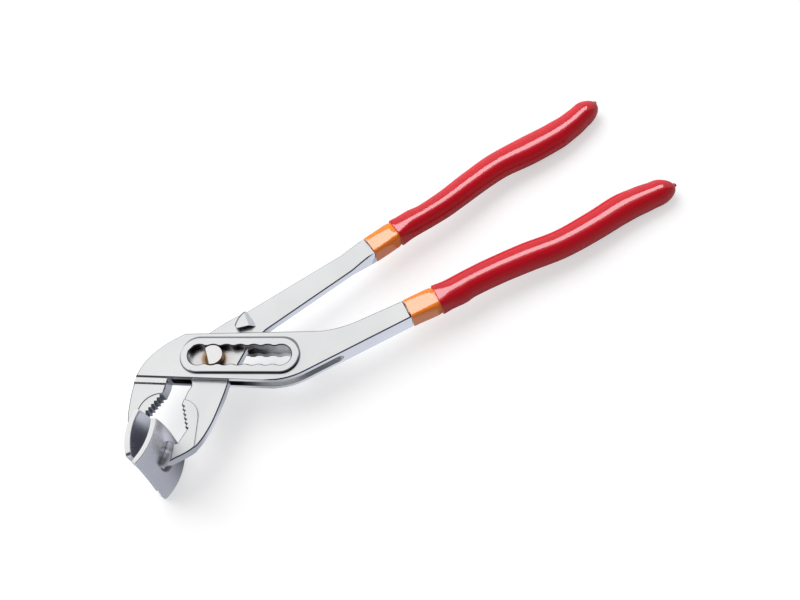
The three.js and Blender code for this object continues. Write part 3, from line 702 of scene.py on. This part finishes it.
def centreline(collar, angle, length, bow, lead=20.0, steps=80):
    """Points through [-lead, 0] and the bow at shares of the length, in the handle's own axes, turned
    by the angle and moved to the collar. Each span is the cubic with end tangents
    (p1 - p0) / t01 - (p2 - p0) / (t01 + t12) + (p2 - p1) / t12, where t is distance to the power 0.5.
    Gives the points, and their distances along the curve from the collar."""
    own = np.concatenate([[[-lead, 0]], np.stack([RATIOS * length, bow], -1)])
    c, s = math.cos(angle), math.sin(angle)
    p = own @ np.array([[c, s], [-s, c]]) + collar
    p = np.concatenate([[2 * p[0] - p[1]], p, [2 * p[-1] - p[-2]]])
    t = np.sqrt(np.linalg.norm(np.diff(p, axis=0), axis=1))[:, None]
    p0, p1, p2, p3 = p[:-3], p[1:-2], p[2:-1], p[3:]
    t01, t12, t23 = t[:-2], t[1:-1], t[2:]
    m1 = t12 * ((p1 - p0) / t01 - (p2 - p0) / (t01 + t12) + (p2 - p1) / t12)
    m2 = t12 * ((p2 - p1) / t12 - (p3 - p1) / (t12 + t23) + (p3 - p2) / t23)
    u = np.linspace(0, 1, steps, endpoint=False)[None, :, None]
    h = [2 * u**3 - 3 * u**2 + 1, u**3 - 2 * u**2 + u, 3 * u**2 - 2 * u**3, u**3 - u**2]
    spans = h[0] * p1[:, None] + h[1] * m1[:, None] + h[2] * p2[:, None] + h[3] * m2[:, None]
    points = np.concatenate([spans.reshape(-1, 2), p2[-1:]])
    distance = np.concatenate([[0], np.cumsum(np.linalg.norm(np.diff(points, axis=0), axis=1))])
    return points, distance - distance[steps]


def follow(path, s):
    """Centre and left-hand direction at distance s from the collar, straight on past either end."""
    points, distance = path
    inside = np.clip(s, distance[0], distance[-1])
    centre = np.stack([np.interp(inside, distance, points[:, j]) for j in range(2)], -1)
    tangent = np.gradient(points, distance, axis=0)
    ahead = np.stack([np.interp(inside, distance, tangent[:, j]) for j in range(2)], -1)
    ahead /= np.linalg.norm(ahead, axis=-1, keepdims=True)
    centre = centre + ahead * (s - inside)[:, None]
    return centre, np.stack([-ahead[:, 1], ahead[:, 0]], -1)


slotted_path = centreline(SLOTTED_COLLAR, SLOTTED_ANGLE, SLOTTED_LENGTH, SLOTTED_BOW)
inner_path = centreline(INNER_COLLAR, INNER_ANGLE, INNER_LENGTH, INNER_BOW)
print("handle lengths", round(slotted_path[1][-1], 1), round(inner_path[1][-1], 1), "mm")

# %% [markdown]
# A grip swells and narrows along the hand. A curve with a radius at each point could carry that, but the
# width and the thickness of a grip differ. So its half widths are listed at shares of its length, as they
# were measured in the photograph, and eased between them.

# %% Widths of the grips
SLOTTED_WIDTHS = [6.35, 6.85, 7.4, 7.3, 7.4, 7.6, 7.5, 7.7, 7.9, 7.4, 6.75, 5.8]
INNER_WIDTHS = [6.0, 6.2, 6.75, 6.6, 6.85, 7.15, 7.4, 8.0, 7.7, 6.95, 6.4, 6.0]


def smooth(t):
    """3 t^2 - 2 t^3 on t held between 0 and 1."""
    t = np.clip(t, 0, 1)
    return t * t * (3 - 2 * t)


def half_width(widths, share):
    """Half width at a share of the grip's length, eased between the listed places."""
    i = np.clip(np.searchsorted(RATIOS, np.clip(share, 0, 1), side="left"), 1, len(RATIOS) - 1)
    low, high = np.array(widths)[i - 1], np.array(widths)[i]
    return low + (high - low) * smooth((share - RATIOS[i - 1]) / (RATIOS[i] - RATIOS[i - 1]))


print("grip widths", [round(2 * float(half_width(SLOTTED_WIDTHS, f)), 1) for f in (0.1, 0.5, 0.9)], "mm")

# %% [markdown]
# A dipped coat is a cup: its outer skin runs from the lip to a round end, where the last drop set as a small
# nub, and its inner skin runs back. A tube with a Solidify would do, but the lip and the nub would need
# their own pieces. So one profile goes along the inner skin, over the lip and along the outer skin.

# %% A coat's profile along the handle
COLLAR_SHOWS = 15.6
COLLAR_TAPER = 1.5
END_DOME = 9.0
BODY_RINGS = 150
DOME_TURN, DOME_RINGS = (0.05, 0.49), 18
LIP_LENGTH, LIP_DROP = 0.35, 0.3
BORE_START = 0.25
NUB_LENGTH, NUB_R, NUB_SUNK = 1.35, 1.25, 0.05
NUB_TURN, NUB_RINGS = (0.25, 0.96), 9


def coat_profile(length, start, skin_inset, bore_inset, lift, drip):
    """Arrays along the profile: distance s, growth over the grip's own width, shrink of the end dome and
    the nub's radius. The dome shrinks by the root of 1 - t^2, and the nub is a half round on its top.
    The lift raises the collar that shows, and tapers off before the next coat covers it."""

    def layer(inset, first, collar):
        dome = END_DOME - inset
        dome_from = length - inset - dome
        rise = dome * np.sin(np.linspace(*DOME_TURN, DOME_RINGS) * np.pi)
        s = np.concatenate([np.linspace(first, dome_from, BODY_RINGS), dome_from + rise])
        t = np.clip((s - dome_from) / dome, 0, 1)
        lifted = collar * (1 - np.clip((s - COLLAR_SHOWS + COLLAR_TAPER) / COLLAR_TAPER, 0, 1))
        return s, lifted - inset, np.sqrt(1 - t**2)

    outer = layer(skin_inset, start + LIP_LENGTH, lift)
    inner = [values[::-1] for values in layer(bore_inset, start + BORE_START, 0.0)]
    turn = np.linspace(0, np.pi / 2, 6)[1:-1]
    rim = lift - skin_inset
    lip_s = np.concatenate([[start, start], start + LIP_LENGTH * (1 - np.cos(turn))])
    lip_grow = np.concatenate([[-bore_inset, rim - LIP_DROP], rim - LIP_DROP * (1 - np.sin(turn))])
    lip = (lip_s, lip_grow, np.ones(len(lip_s)))
    s, grow, shrink = (np.concatenate(parts) for parts in zip(inner, lip, outer))
    nub = np.zeros(len(s))
    if drip:
        turn = np.linspace(*NUB_TURN, NUB_RINGS) * np.pi / 2
        s = np.concatenate([s, length - NUB_SUNK + NUB_LENGTH * np.sin(turn)])
        grow, shrink = (np.concatenate([values, np.zeros(NUB_RINGS)]) for values in (grow, shrink))
        nub = np.concatenate([nub, NUB_R * np.cos(turn)])
    return s, grow, shrink, nub


# %% [markdown]
# The section of a coat is nearly square at the collar, like the steel under it, and oval from 26 mm on. Two
# sections could be blended point by point. A superellipse does it with one exponent, which eases from
# a high value to about two. The side away from the other handle has a slight step, where the steel
# narrows, and the ends are slanted a little, because the coats ran as they dried.

# %% A coat round the handle
HALF_THICK = 6.3
SQUARE_POWER, ROUND_POWER = 7, 2.08
ROUND_FROM = 26
COAT_POINTS = 96
CORNER_CROWD = 0.1
POLES_PAST_ENDS = 0.05, 0.02
PALM_STEP = 0.5
STEP_RISE, STEP_FALL = (0.02, 0.1), (0.185, 0.04)
LEAN_LENGTH = 9


def coat(name, path, widths, palm_side, slant, **layer):
    """A cup round the handle. The section at s is the oval |x/a|^p + |z/b|^p = 1, where p eases from 7 at
    the collar to 2.08 at 26 mm. Points are closer together at its corners. Over the last 9 mm the sections
    lean by the slant, so that one side of the end reaches further."""
    length = path[1][-1]
    s, grow, shrink, nub = coat_profile(length, **layer)
    share = s / length
    even = np.linspace(0, 2 * np.pi, COAT_POINTS, endpoint=False)
    turn = even + CORNER_CROWD * np.sin(4 * even)
    c, d = np.cos(turn), np.sin(turn)
    p = (SQUARE_POWER - (SQUARE_POWER - ROUND_POWER) * smooth(s / ROUND_FROM))[:, None]
    oval = (np.abs(c) ** p + np.abs(d) ** p) ** (-1 / p)
    rise, fall = ((share - begin) / span for begin, span in (STEP_RISE, STEP_FALL))
    step = (PALM_STEP * smooth(rise) * (1 - smooth(fall)))[:, None]
    wide = (half_width(widths, share) + grow)[:, None] + np.where(c * palm_side > 0, step, 0)
    across = wide * shrink[:, None] * oval * c + nub[:, None] * c
    up = ((HALF_THICK + grow) * shrink)[:, None] * oval * d + nub[:, None] * d
    centre, left = follow(path, s)
    ahead = np.stack([left[:, 1], -left[:, 0]], -1)
    lean = slant * smooth((s - length + LEAN_LENGTH) / LEAN_LENGTH)[:, None] * across
    flat = centre[:, None, :] + left[:, None, :] * across[..., None] + ahead[:, None, :] * lean[..., None]
    rings = np.concatenate([flat, up[..., None]], -1)
    ends, _ = follow(path, s[[0, -1]] + POLES_PAST_ENDS)
    poles = np.append(ends, [[0], [0]], 1)
    return skin(name, to_frame(rings), to_frame(poles[0]), to_frame(poles[1]))


# %% [markdown]
# Each handle has two coats. One piece with two colours could show them, but the red coat lies on the orange
# one and ends in a lip of its own. So each coat is a cup. The orange one is lower by the red one's
# thickness and a small gap, and raised a little at the collar that shows.

# %% Orange under coats and red outer coats
COAT_GAP = 0.3
ORANGE_LAYER = {
    "start": COAT_GAP,
    "skin_inset": 0.95,
    "bore_inset": 1.9,
    "lift": 0.4,
    "drip": False,
}
RED_LAYER = {
    "start": COLLAR_SHOWS + COAT_GAP,
    "skin_inset": 0.0,
    "bore_inset": 0.65,
    "lift": 0.0,
    "drip": True,
}

for body, path, widths, palm_side, slant in (
    ("slotted_arm", slotted_path, SLOTTED_WIDTHS, -1, -0.22),
    ("inner_arm", inner_path, INNER_WIDTHS, 1, -0.27),
):
    under = coat(body + "_orange_coat", path, widths, palm_side, slant, **ORANGE_LAYER)
    over = coat(body + "_red_coat", path, widths, palm_side, slant, **RED_LAYER)
    under.data.materials.append(orange_vinyl)
    over.data.materials.append(red_vinyl)
    fit(under, body, "grip_orange", body + "_grip_undercoat")
    fit(over, body, "grip_red", body + "_grip")

# %% [markdown]
# Each jaw carries a curved plate that grips the tire: a strip of sheet bent to a part of a tube. A piece
# could be cut from a tube, but its edge is easier to describe while it is flat. So its outline is drawn
# first: two straight sides, a bowed heel, and a slightly hollow tip with round corners.

# %% Flat outline of a jaw plate
PLATE_THICK = 2.8
PLATE_WIDTH = 51.0
PLATE_LENGTH = 25.4
PLATE_INNER_R = 30.0
PLATE_REACH = PLATE_INNER_R + PLATE_THICK / 2
HEEL_BOW = 2.2
TIP_HOLLOW = 1.1
TIP_CORNER = 2.2
SIDE_POINTS, CORNER_POINTS, END_POINTS = 40, 24, 80
OUTLINE_POINTS = 240


def bow(start, middle, end, count):
    """A quadratic curve from start to end, pulled towards the middle point."""
    t = np.linspace(0, 1, count, endpoint=False)[:, None]
    return (1 - t) ** 2 * np.array(start) + 2 * t * (1 - t) * np.array(middle) + t * t * np.array(end)


def plate_outline():
    """The flat outline, evenly spaced: straight sides, round tip corners, hollow tip and bowed heel. The
    middle point of a bow lies twice as far out as the curve itself."""
    half, heel, tip = PLATE_WIDTH / 2, HEEL_BOW - PLATE_LENGTH / 2, PLATE_LENGTH / 2
    inner, bend = half - TIP_CORNER, tip - TIP_CORNER
    raw = np.concatenate([
        bow((heel, -half), ((heel + bend) / 2, -half), (bend, -half), SIDE_POINTS),
        bow((bend, -half), (tip, -half), (tip, -inner), CORNER_POINTS),
        bow((tip, -inner), (tip - 2 * TIP_HOLLOW, 0), (tip, inner), END_POINTS),
        bow((tip, inner), (tip, half), (bend, half), CORNER_POINTS),
        bow((bend, half), ((heel + bend) / 2, half), (heel, half), SIDE_POINTS),
        bow((heel, half), (heel - 2 * HEEL_BOW, 0), (heel, -half), END_POINTS),
    ])
    loop = np.concatenate([raw, raw[:1]])
    run = np.concatenate([[0], np.cumsum(np.linalg.norm(np.diff(loop, axis=0), axis=1))])
    even = np.linspace(0, run[-1], OUTLINE_POINTS, endpoint=False)
    return np.stack([np.interp(even, run, loop[:, j]) for j in range(2)], -1)


print("flat plate", np.ptp(plate_outline(), axis=0).round(1), "mm")

# %% [markdown]
# The flat sheet is then pressed on the tube, so that it keeps its outline when it is seen straight on. A
# Simple Deform modifier could bend it, but its edge has to be rounded as well. So rings run over the outer
# face, round the edge and back over the inner face, and each gets its own radius on the tube.

# %% Bent jaw plates
FIXED_PLATE = ((-29.2, -46.7), math.radians(-94), 1)
MOVING_PLATE = ((-19.1, -51.6), math.radians(-104.6), -1)
EDGE_ROUND = 0.45
FACE_SPREAD, FACE_RINGS = (0.04, 0.96), 24


def plate_axes(at, turn, side):
    """Unit vectors along the plate, and from the plate to its tube's centre, with that centre."""
    along = np.array([math.cos(turn), math.sin(turn)])
    inward = side * np.array([-along[1], along[0]])
    return along, inward, np.array(at) + PLATE_REACH * inward


def plate(name, at, turn, side):
    """Rings from the middle of the outer face to its rim, over the rounded edge, and back on the inner
    face. Height h over the bent middle sheet becomes radius PLATE_REACH + h, and length a becomes the
    angle asin(a / PLATE_REACH)."""
    outline = plate_outline()
    ahead = np.roll(outline, -1, 0) - np.roll(outline, 1, 0)
    ahead /= np.linalg.norm(ahead, axis=1, keepdims=True)
    outward = np.stack([ahead[:, 1], -ahead[:, 0]], -1)
    half = PLATE_THICK / 2
    arc = np.linspace(0, np.pi / 2, 5)
    rise, fall = EDGE_ROUND * (1 - np.cos(arc)), EDGE_ROUND * (1 - np.sin(arc))
    face, spread = np.ones(FACE_RINGS), np.linspace(*FACE_SPREAD, FACE_RINGS)
    shrink = np.concatenate([spread, np.ones(2 * len(arc)), spread[::-1]])
    inset = np.concatenate([EDGE_ROUND * face, fall, rise, EDGE_ROUND * face])
    height = np.concatenate([half * face, half - rise, fall - half, -half * face])
    flat = (outline[None] - outward[None] * inset[:, None, None]) * shrink[:, None, None]
    along, inward, centre = plate_axes(at, turn, side)
    angle = np.arcsin(flat[..., 0] / PLATE_REACH)[..., None]
    radius = (PLATE_REACH + height)[:, None, None]
    bent = centre + radius * (np.sin(angle) * along - np.cos(angle) * inward)
    rings = np.concatenate([bent, flat[..., 1:]], -1)
    poles = [np.append(centre - (PLATE_REACH + h) * inward, 0) for h in (half, -half)]
    return skin(name, to_frame(rings), to_frame(poles[0]), to_frame(poles[1]))


for jaw, body, spec in (("fixed", "slotted_arm", FIXED_PLATE), ("moving", "inner_arm", MOVING_PLATE)):
    sheet = plate(jaw + "_bent_plate", *spec)
    sheet.data.materials.append(plate_steel)
    fit(sheet, body, "plate_steel", jaw + "_jaw_plate")

# %% [markdown]
# A weld runs along the corner between each plate and each face of its jaw's tip. It is a bead of lumps, one
# for each pause of the torch, with fine ripples across it. It could be sculpted, or be a row of balls. Sines
# along an oval bead keep it one closed skin, whose greater part stands out of the corner.

# %% Weld beads
WELD_RISE = 0.4
WELD_REACH = PLATE_INNER_R + PLATE_THICK + WELD_RISE
WELD_SIZE = 2.8
WELD_HALF = 6.6
WELD_END = 6.62
LEAST_END = 0.0003
WELD_RINGS, WELD_POINTS = 96, 64
WELD_SUNK = 0.42
BIG_LUMPS, SMALL_LUMPS, RIPPLES = (0.05, 0.9, 0.6), (0.015, 2.3, 2.0), (0.003, 6.0, 1.4)


def weld(name, plate_spec, weld_at, tip_thick, face):
    """A bead along the plate's outer face. At distance u its size is 2.8 mm times the root of
    1 - (u / end)^4, with two slow sines for the lumps and a fine one for the ripples. Its section is an
    oval, scaled by 0.42 into the steel."""
    along, inward, centre = plate_axes(*plate_spec)
    u = np.linspace(-WELD_HALF, WELD_HALF, WELD_RINGS)
    v = np.linspace(0, 2 * np.pi, WELD_POINTS, endpoint=False)
    ends = np.sqrt(np.clip(1 - (u / WELD_END) ** 4, LEAST_END, None))
    lumps = sum(size * np.sin(pace * u + shift) for size, pace, shift in (BIG_LUMPS, SMALL_LUMPS))
    size, pace, bend = RIPPLES
    ripple = 1 + size * np.sin(pace * u[:, None] + bend * np.cos(v))
    grown = (WELD_SIZE * ends * (1 + lumps))[:, None] * ripple
    out, rise = (np.where(wave > 0, 1.0, WELD_SUNK) * wave for wave in (np.cos(v), np.sin(v)))
    angle = ((u + weld_at) / (PLATE_INNER_R + PLATE_THICK))[:, None, None]
    radius = (WELD_REACH + grown * out)[..., None]
    place = centre + radius * (np.sin(angle) * along - np.cos(angle) * inward)
    z = face * (tip_thick / 2 + grown * rise)
    rings = np.concatenate([place, z[..., None]], -1)
    poles = [r.mean(0) for r in (rings[0], rings[-1])]
    return skin(name, to_frame(rings), to_frame(poles[0]), to_frame(poles[1]))


for jaw, body, spec, weld_at, tip_thick in (
    ("fixed", "slotted_arm", FIXED_PLATE, -5.0, 7.6),
    ("moving", "inner_arm", MOVING_PLATE, -1.4, 6.4),
):
    for face, word in ((1, "front"), (-1, "back")):
        bead = weld(f"{jaw}_weld_bead_{word}", spec, weld_at, tip_thick, face)
        bead.data.materials.append(weld_steel)
        fit(bead, body, "weld_steel", f"{jaw}_jaw_weld_{word}")

# %% [markdown]
# The tool lies on a pale table: it touches at the lower edges of its plates and under the ends of its grips.
# The tool could be tilted to a level table, but its pieces must stay in the frame. So the table is a
# plane through those places, a few degrees from level.


# %% Table
TABLE_HALF = 4
PLATE_TOUCH, GRIP_TOUCH_AT = 0.006, 0.235
TOUCH_GAP = 0.1 * MM


def sheet_through(name, grid):
    """A mesh of quads through a grid of points: point j of row i is joined to j + 1 and to row i + 1."""
    n, m, _ = grid.shape
    first = (np.arange(n - 1)[:, None] * m + np.arange(m - 1)).reshape(-1, 1)
    mesh = bpy.data.meshes.new(name)
    mesh.from_pydata(grid.reshape(-1, 3).tolist(), [], (first + [0, m, m + 1, 1]).tolist())
    print(name, len(mesh.polygons), "faces")
    return mesh


def plan_grid(across, along):
    """Two arrays of coordinates over a grid: the first grows with the row, the second in the row."""
    return np.meshgrid(across, along, indexing="ij")


def table_height(x):
    """Height of the plane through both places where the tool touches it."""
    return touch_low + (x - touch_at) * slope


plate_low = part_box("fixed_jaw_plate")[0]
grip_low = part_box("slotted_arm_grip")[0]
touch_at, touch_low = plate_low.x + PLATE_TOUCH, plate_low.z - TOUCH_GAP
slope = (grip_low.z - TOUCH_GAP - touch_low) / (GRIP_TOUCH_AT - touch_at)
u, v = plan_grid(np.linspace(-TABLE_HALF, TABLE_HALF, 3), np.linspace(-TABLE_HALF, TABLE_HALF, 3))
table = put_in_scene("table", sheet_through("table", np.stack([u, v, table_height(u)], -1)))
print("table tilts by", round(math.degrees(math.atan(slope)), 2), "degrees")

# %% [markdown]
# A white table looks a little grey where the light of a lamp falls off. More light would make it white, but
# would bleach the tool as well. So its matt paint has a little light of its own, for the camera only: the
# table is white, and it keeps the tool's shadow.

# %% White table paint
PAINT_GREY = (0.62, 0.62, 0.63, 1)
PAINT_GLOW = 0.50

paint = bpy.data.materials.new("white_table_paint")
paint.use_nodes = True
tree = paint.node_tree
tree.nodes.remove(tree.nodes["Principled BSDF"])
matt = add(tree, "BsdfDiffuse", {"Color": PAINT_GREY})
seen = add(tree, "LightPath").outputs["Is Camera Ray"]
glow = add(tree, "Emission", {"Strength": calculate(tree, "MULTIPLY", seen, PAINT_GLOW)})
both = add(tree, "AddShader")
tree.links.new(matt.outputs[0], both.inputs[0])
tree.links.new(glow.outputs[0], both.inputs[1])
tree.links.new(both.outputs[0], tree.nodes["Material Output"].inputs["Surface"])
table.data.materials.append(paint)
print("table paint", len(tree.nodes), "nodes")

# %% [markdown]
# The light is a white studio. A world that is white for every ray would also light the tool from all sides
# and bleach it. So a Light Path node tells the rays apart: the camera and reflections see the world as
# white, and as light it is weaker.

# %% World
WORLD_LIGHT = {"To Min": 0.42, "To Max": 1.0}

world = bpy.data.worlds.new("studio")
bpy.context.scene.world = world
world.use_nodes = True
tree = world.node_tree
rays = add(tree, "LightPath").outputs
seen = calculate(tree, "MAXIMUM", rays["Is Camera Ray"], rays["Is Glossy Ray"])
seen = calculate(tree, "MAXIMUM", seen, rays["Is Transmission Ray"])
strength = add(tree, "MapRange", {"Value": seen, **WORLD_LIGHT})
even = tree.nodes["Background"]
even.inputs["Color"].default_value = (1, 1, 1, 1)
tree.links.new(strength.outputs["Result"], even.inputs["Strength"])
print("world", len(tree.nodes), "nodes")

# %% [markdown]
# One lamp could light all, but chrome and vinyl ask for different things. A large soft key lights everything
# from behind and above. Three more light the grips alone, by light linking: a long strip draws the line
# along them, a far window lights their upper sides, and a weak fill in front opens their shadows.

# %% Lamps
GRIPS_MIDDLE = (0.15, 0, 0)
HEAD_AND_GRIPS = (0.08, 0, 0)
STRIP_COLOUR = (0.93, 0.95, 1.0)


def lamp(name, place, aim, size, power, hidden_from):
    """A rectangular lamp that points from its place at its aim, and that one kind of ray doesn't see."""
    light = bpy.data.lights.new(name, "AREA")
    light.shape = "RECTANGLE"
    light.size, light.size_y = size
    light.energy = power
    holder = put_in_scene(name, light)
    holder.location = place
    holder.rotation_euler = (Vector(aim) - Vector(place)).to_track_quat("-Z", "Y").to_euler()
    setattr(holder, "visible_" + hidden_from, False)
    print("lamp", name, power, "W")
    return holder


lamp("soft_key", (-0.15, 0.75, 0.95), HEAD_AND_GRIPS, (1.4, 1.4), 17, "glossy")
strip = lamp("long_strip", (0.20, 0.37, 0.95), GRIPS_MIDDLE, (1.5, 0.42), 22, "diffuse")
strip.data.color = STRIP_COLOUR
window = lamp("far_window", (0.15, 0.95, 0.62), GRIPS_MIDDLE, (1.2, 0.5), 12, "glossy")
fill = lamp("grip_fill", (0.15, -0.75, 0.35), GRIPS_MIDDLE, (1.2, 0.6), 0.7, "glossy")
grips_only = bpy.data.collections.new("grips_only")
for body in ("slotted_arm", "inner_arm"):
    for colour in ("orange", "red"):
        grips_only.objects.link(bpy.data.objects[f"{body}_{colour}_coat"])
for holder in (strip, window, fill):
    holder.light_linking.receiver_collection = grips_only

# %% [markdown]
# A white room alone makes chrome look like paper. A photographer sets dark cards round such a tool, so that
# its walls and edges have something to reflect. Weaker lamps would not do that. Here one card stands
# behind the camera, as a part of a sphere that is darkest near its top. Only reflections see it.


# %% A card for reflections, and the one behind the camera
CARD_R = 1.5
CARD_AZIMUTH, CARD_ELEVATION = (-170, -10), (-2, 92)
CARD_DARK, CARD_DIM = (0.02, 0.02, 0.025), (0.30, 0.305, 0.32)
DARK_ABOVE = 1.15, 0.35


def card(name, grid):
    """A sheet that only glossy rays meet. It glows, so that its tone is as written. Gives its node tree,
    its shader's inputs and its own coordinates."""
    mesh = sheet_through(name, grid)
    paint, tree, shader = start_material(name + "_paint", Specular_IOR_Level=0.0, Emission_Strength=1.0)
    shader["Base Color"].default_value = (0, 0, 0, 1)
    mesh.materials.append(paint)
    sheet = put_in_scene(name, mesh)
    for ray in ("camera", "diffuse", "transmission", "shadow", "volume_scatter"):
        setattr(sheet, "visible_" + ray, False)
    return tree, shader, add(tree, "TexCoord").outputs["Object"]


azimuth, elevation = plan_grid(
    np.radians(np.linspace(*CARD_AZIMUTH, 25)), np.radians(np.linspace(*CARD_ELEVATION, 17))
)
level = np.cos(elevation)
dome = np.stack([level * np.cos(azimuth), level * np.sin(azimuth), np.sin(elevation)], -1)
tree, shader, place = card("dark_card_behind", CARD_R * dome)
height = add(tree, "SeparateXYZ", {"Vector": place}).outputs["Z"]
dark = blend(tree, fade(tree, height, *DARK_ABOVE), CARD_DIM, CARD_DARK)
tree.links.new(dark, shader["Emission Color"])

# %% [markdown]
# A second card lies on the table, for the plates and for the walls of the arms. One even grey would make
# them flat. So it carries a painted shadow of the tool: dark under the plates, grey round them and pale
# further out, with one pale patch of painted light beside the moving plate, where the photograph shows that
# plate light.

# %% The card on the table, with a painted shadow and a painted light
CARD_ACROSS, CARD_ALONG = (-0.25, 0.11), (-0.35, 0.25)
CARD_ABOVE_TABLE = 0.2 * MM
UNDER_PLATES, PAINTED_LIGHT_AT = (-34 * MM, -19 * MM), (-11 * MM, -28 * MM)
PAINTED_SHADOW_CORE, PAINTED_SHADOW_CORE_ENDS = (0.06, 0.064, 0.076), (30 * MM, 4 * MM)
PAINTED_SHADOW_GREY, PAINTED_SHADOW_GREY_ENDS = (0.49, 0.50, 0.535), (85 * MM, 45 * MM)
PALE, PAINTED_LIGHT_ENDS = (0.86, 0.88, 0.94), (8 * MM, 19 * MM)

u, v = plan_grid(np.linspace(*CARD_ACROSS, 8), np.linspace(*CARD_ALONG, 8))
on_table = np.stack([u, v, table_height(u) + CARD_ABOVE_TABLE], -1)
tree, shader, place = card("grey_card_below", on_table)
away = plan_distance(tree, place, UNDER_PLATES)
# painted shadow of the tool: near black under the plates, grey round them, pale further out
tone = blend(tree, fade(tree, away, *PAINTED_SHADOW_CORE_ENDS), PAINTED_SHADOW_CORE, PAINTED_SHADOW_GREY)
tone = blend(tree, fade(tree, away, *PAINTED_SHADOW_GREY_ENDS), tone, PALE)
# painted light: a pale patch beside the moving plate
painted_light = fade(tree, plan_distance(tree, place, PAINTED_LIGHT_AT), *PAINTED_LIGHT_ENDS)
tree.links.new(blend(tree, painted_light, tone, PALE), shader["Emission Color"])
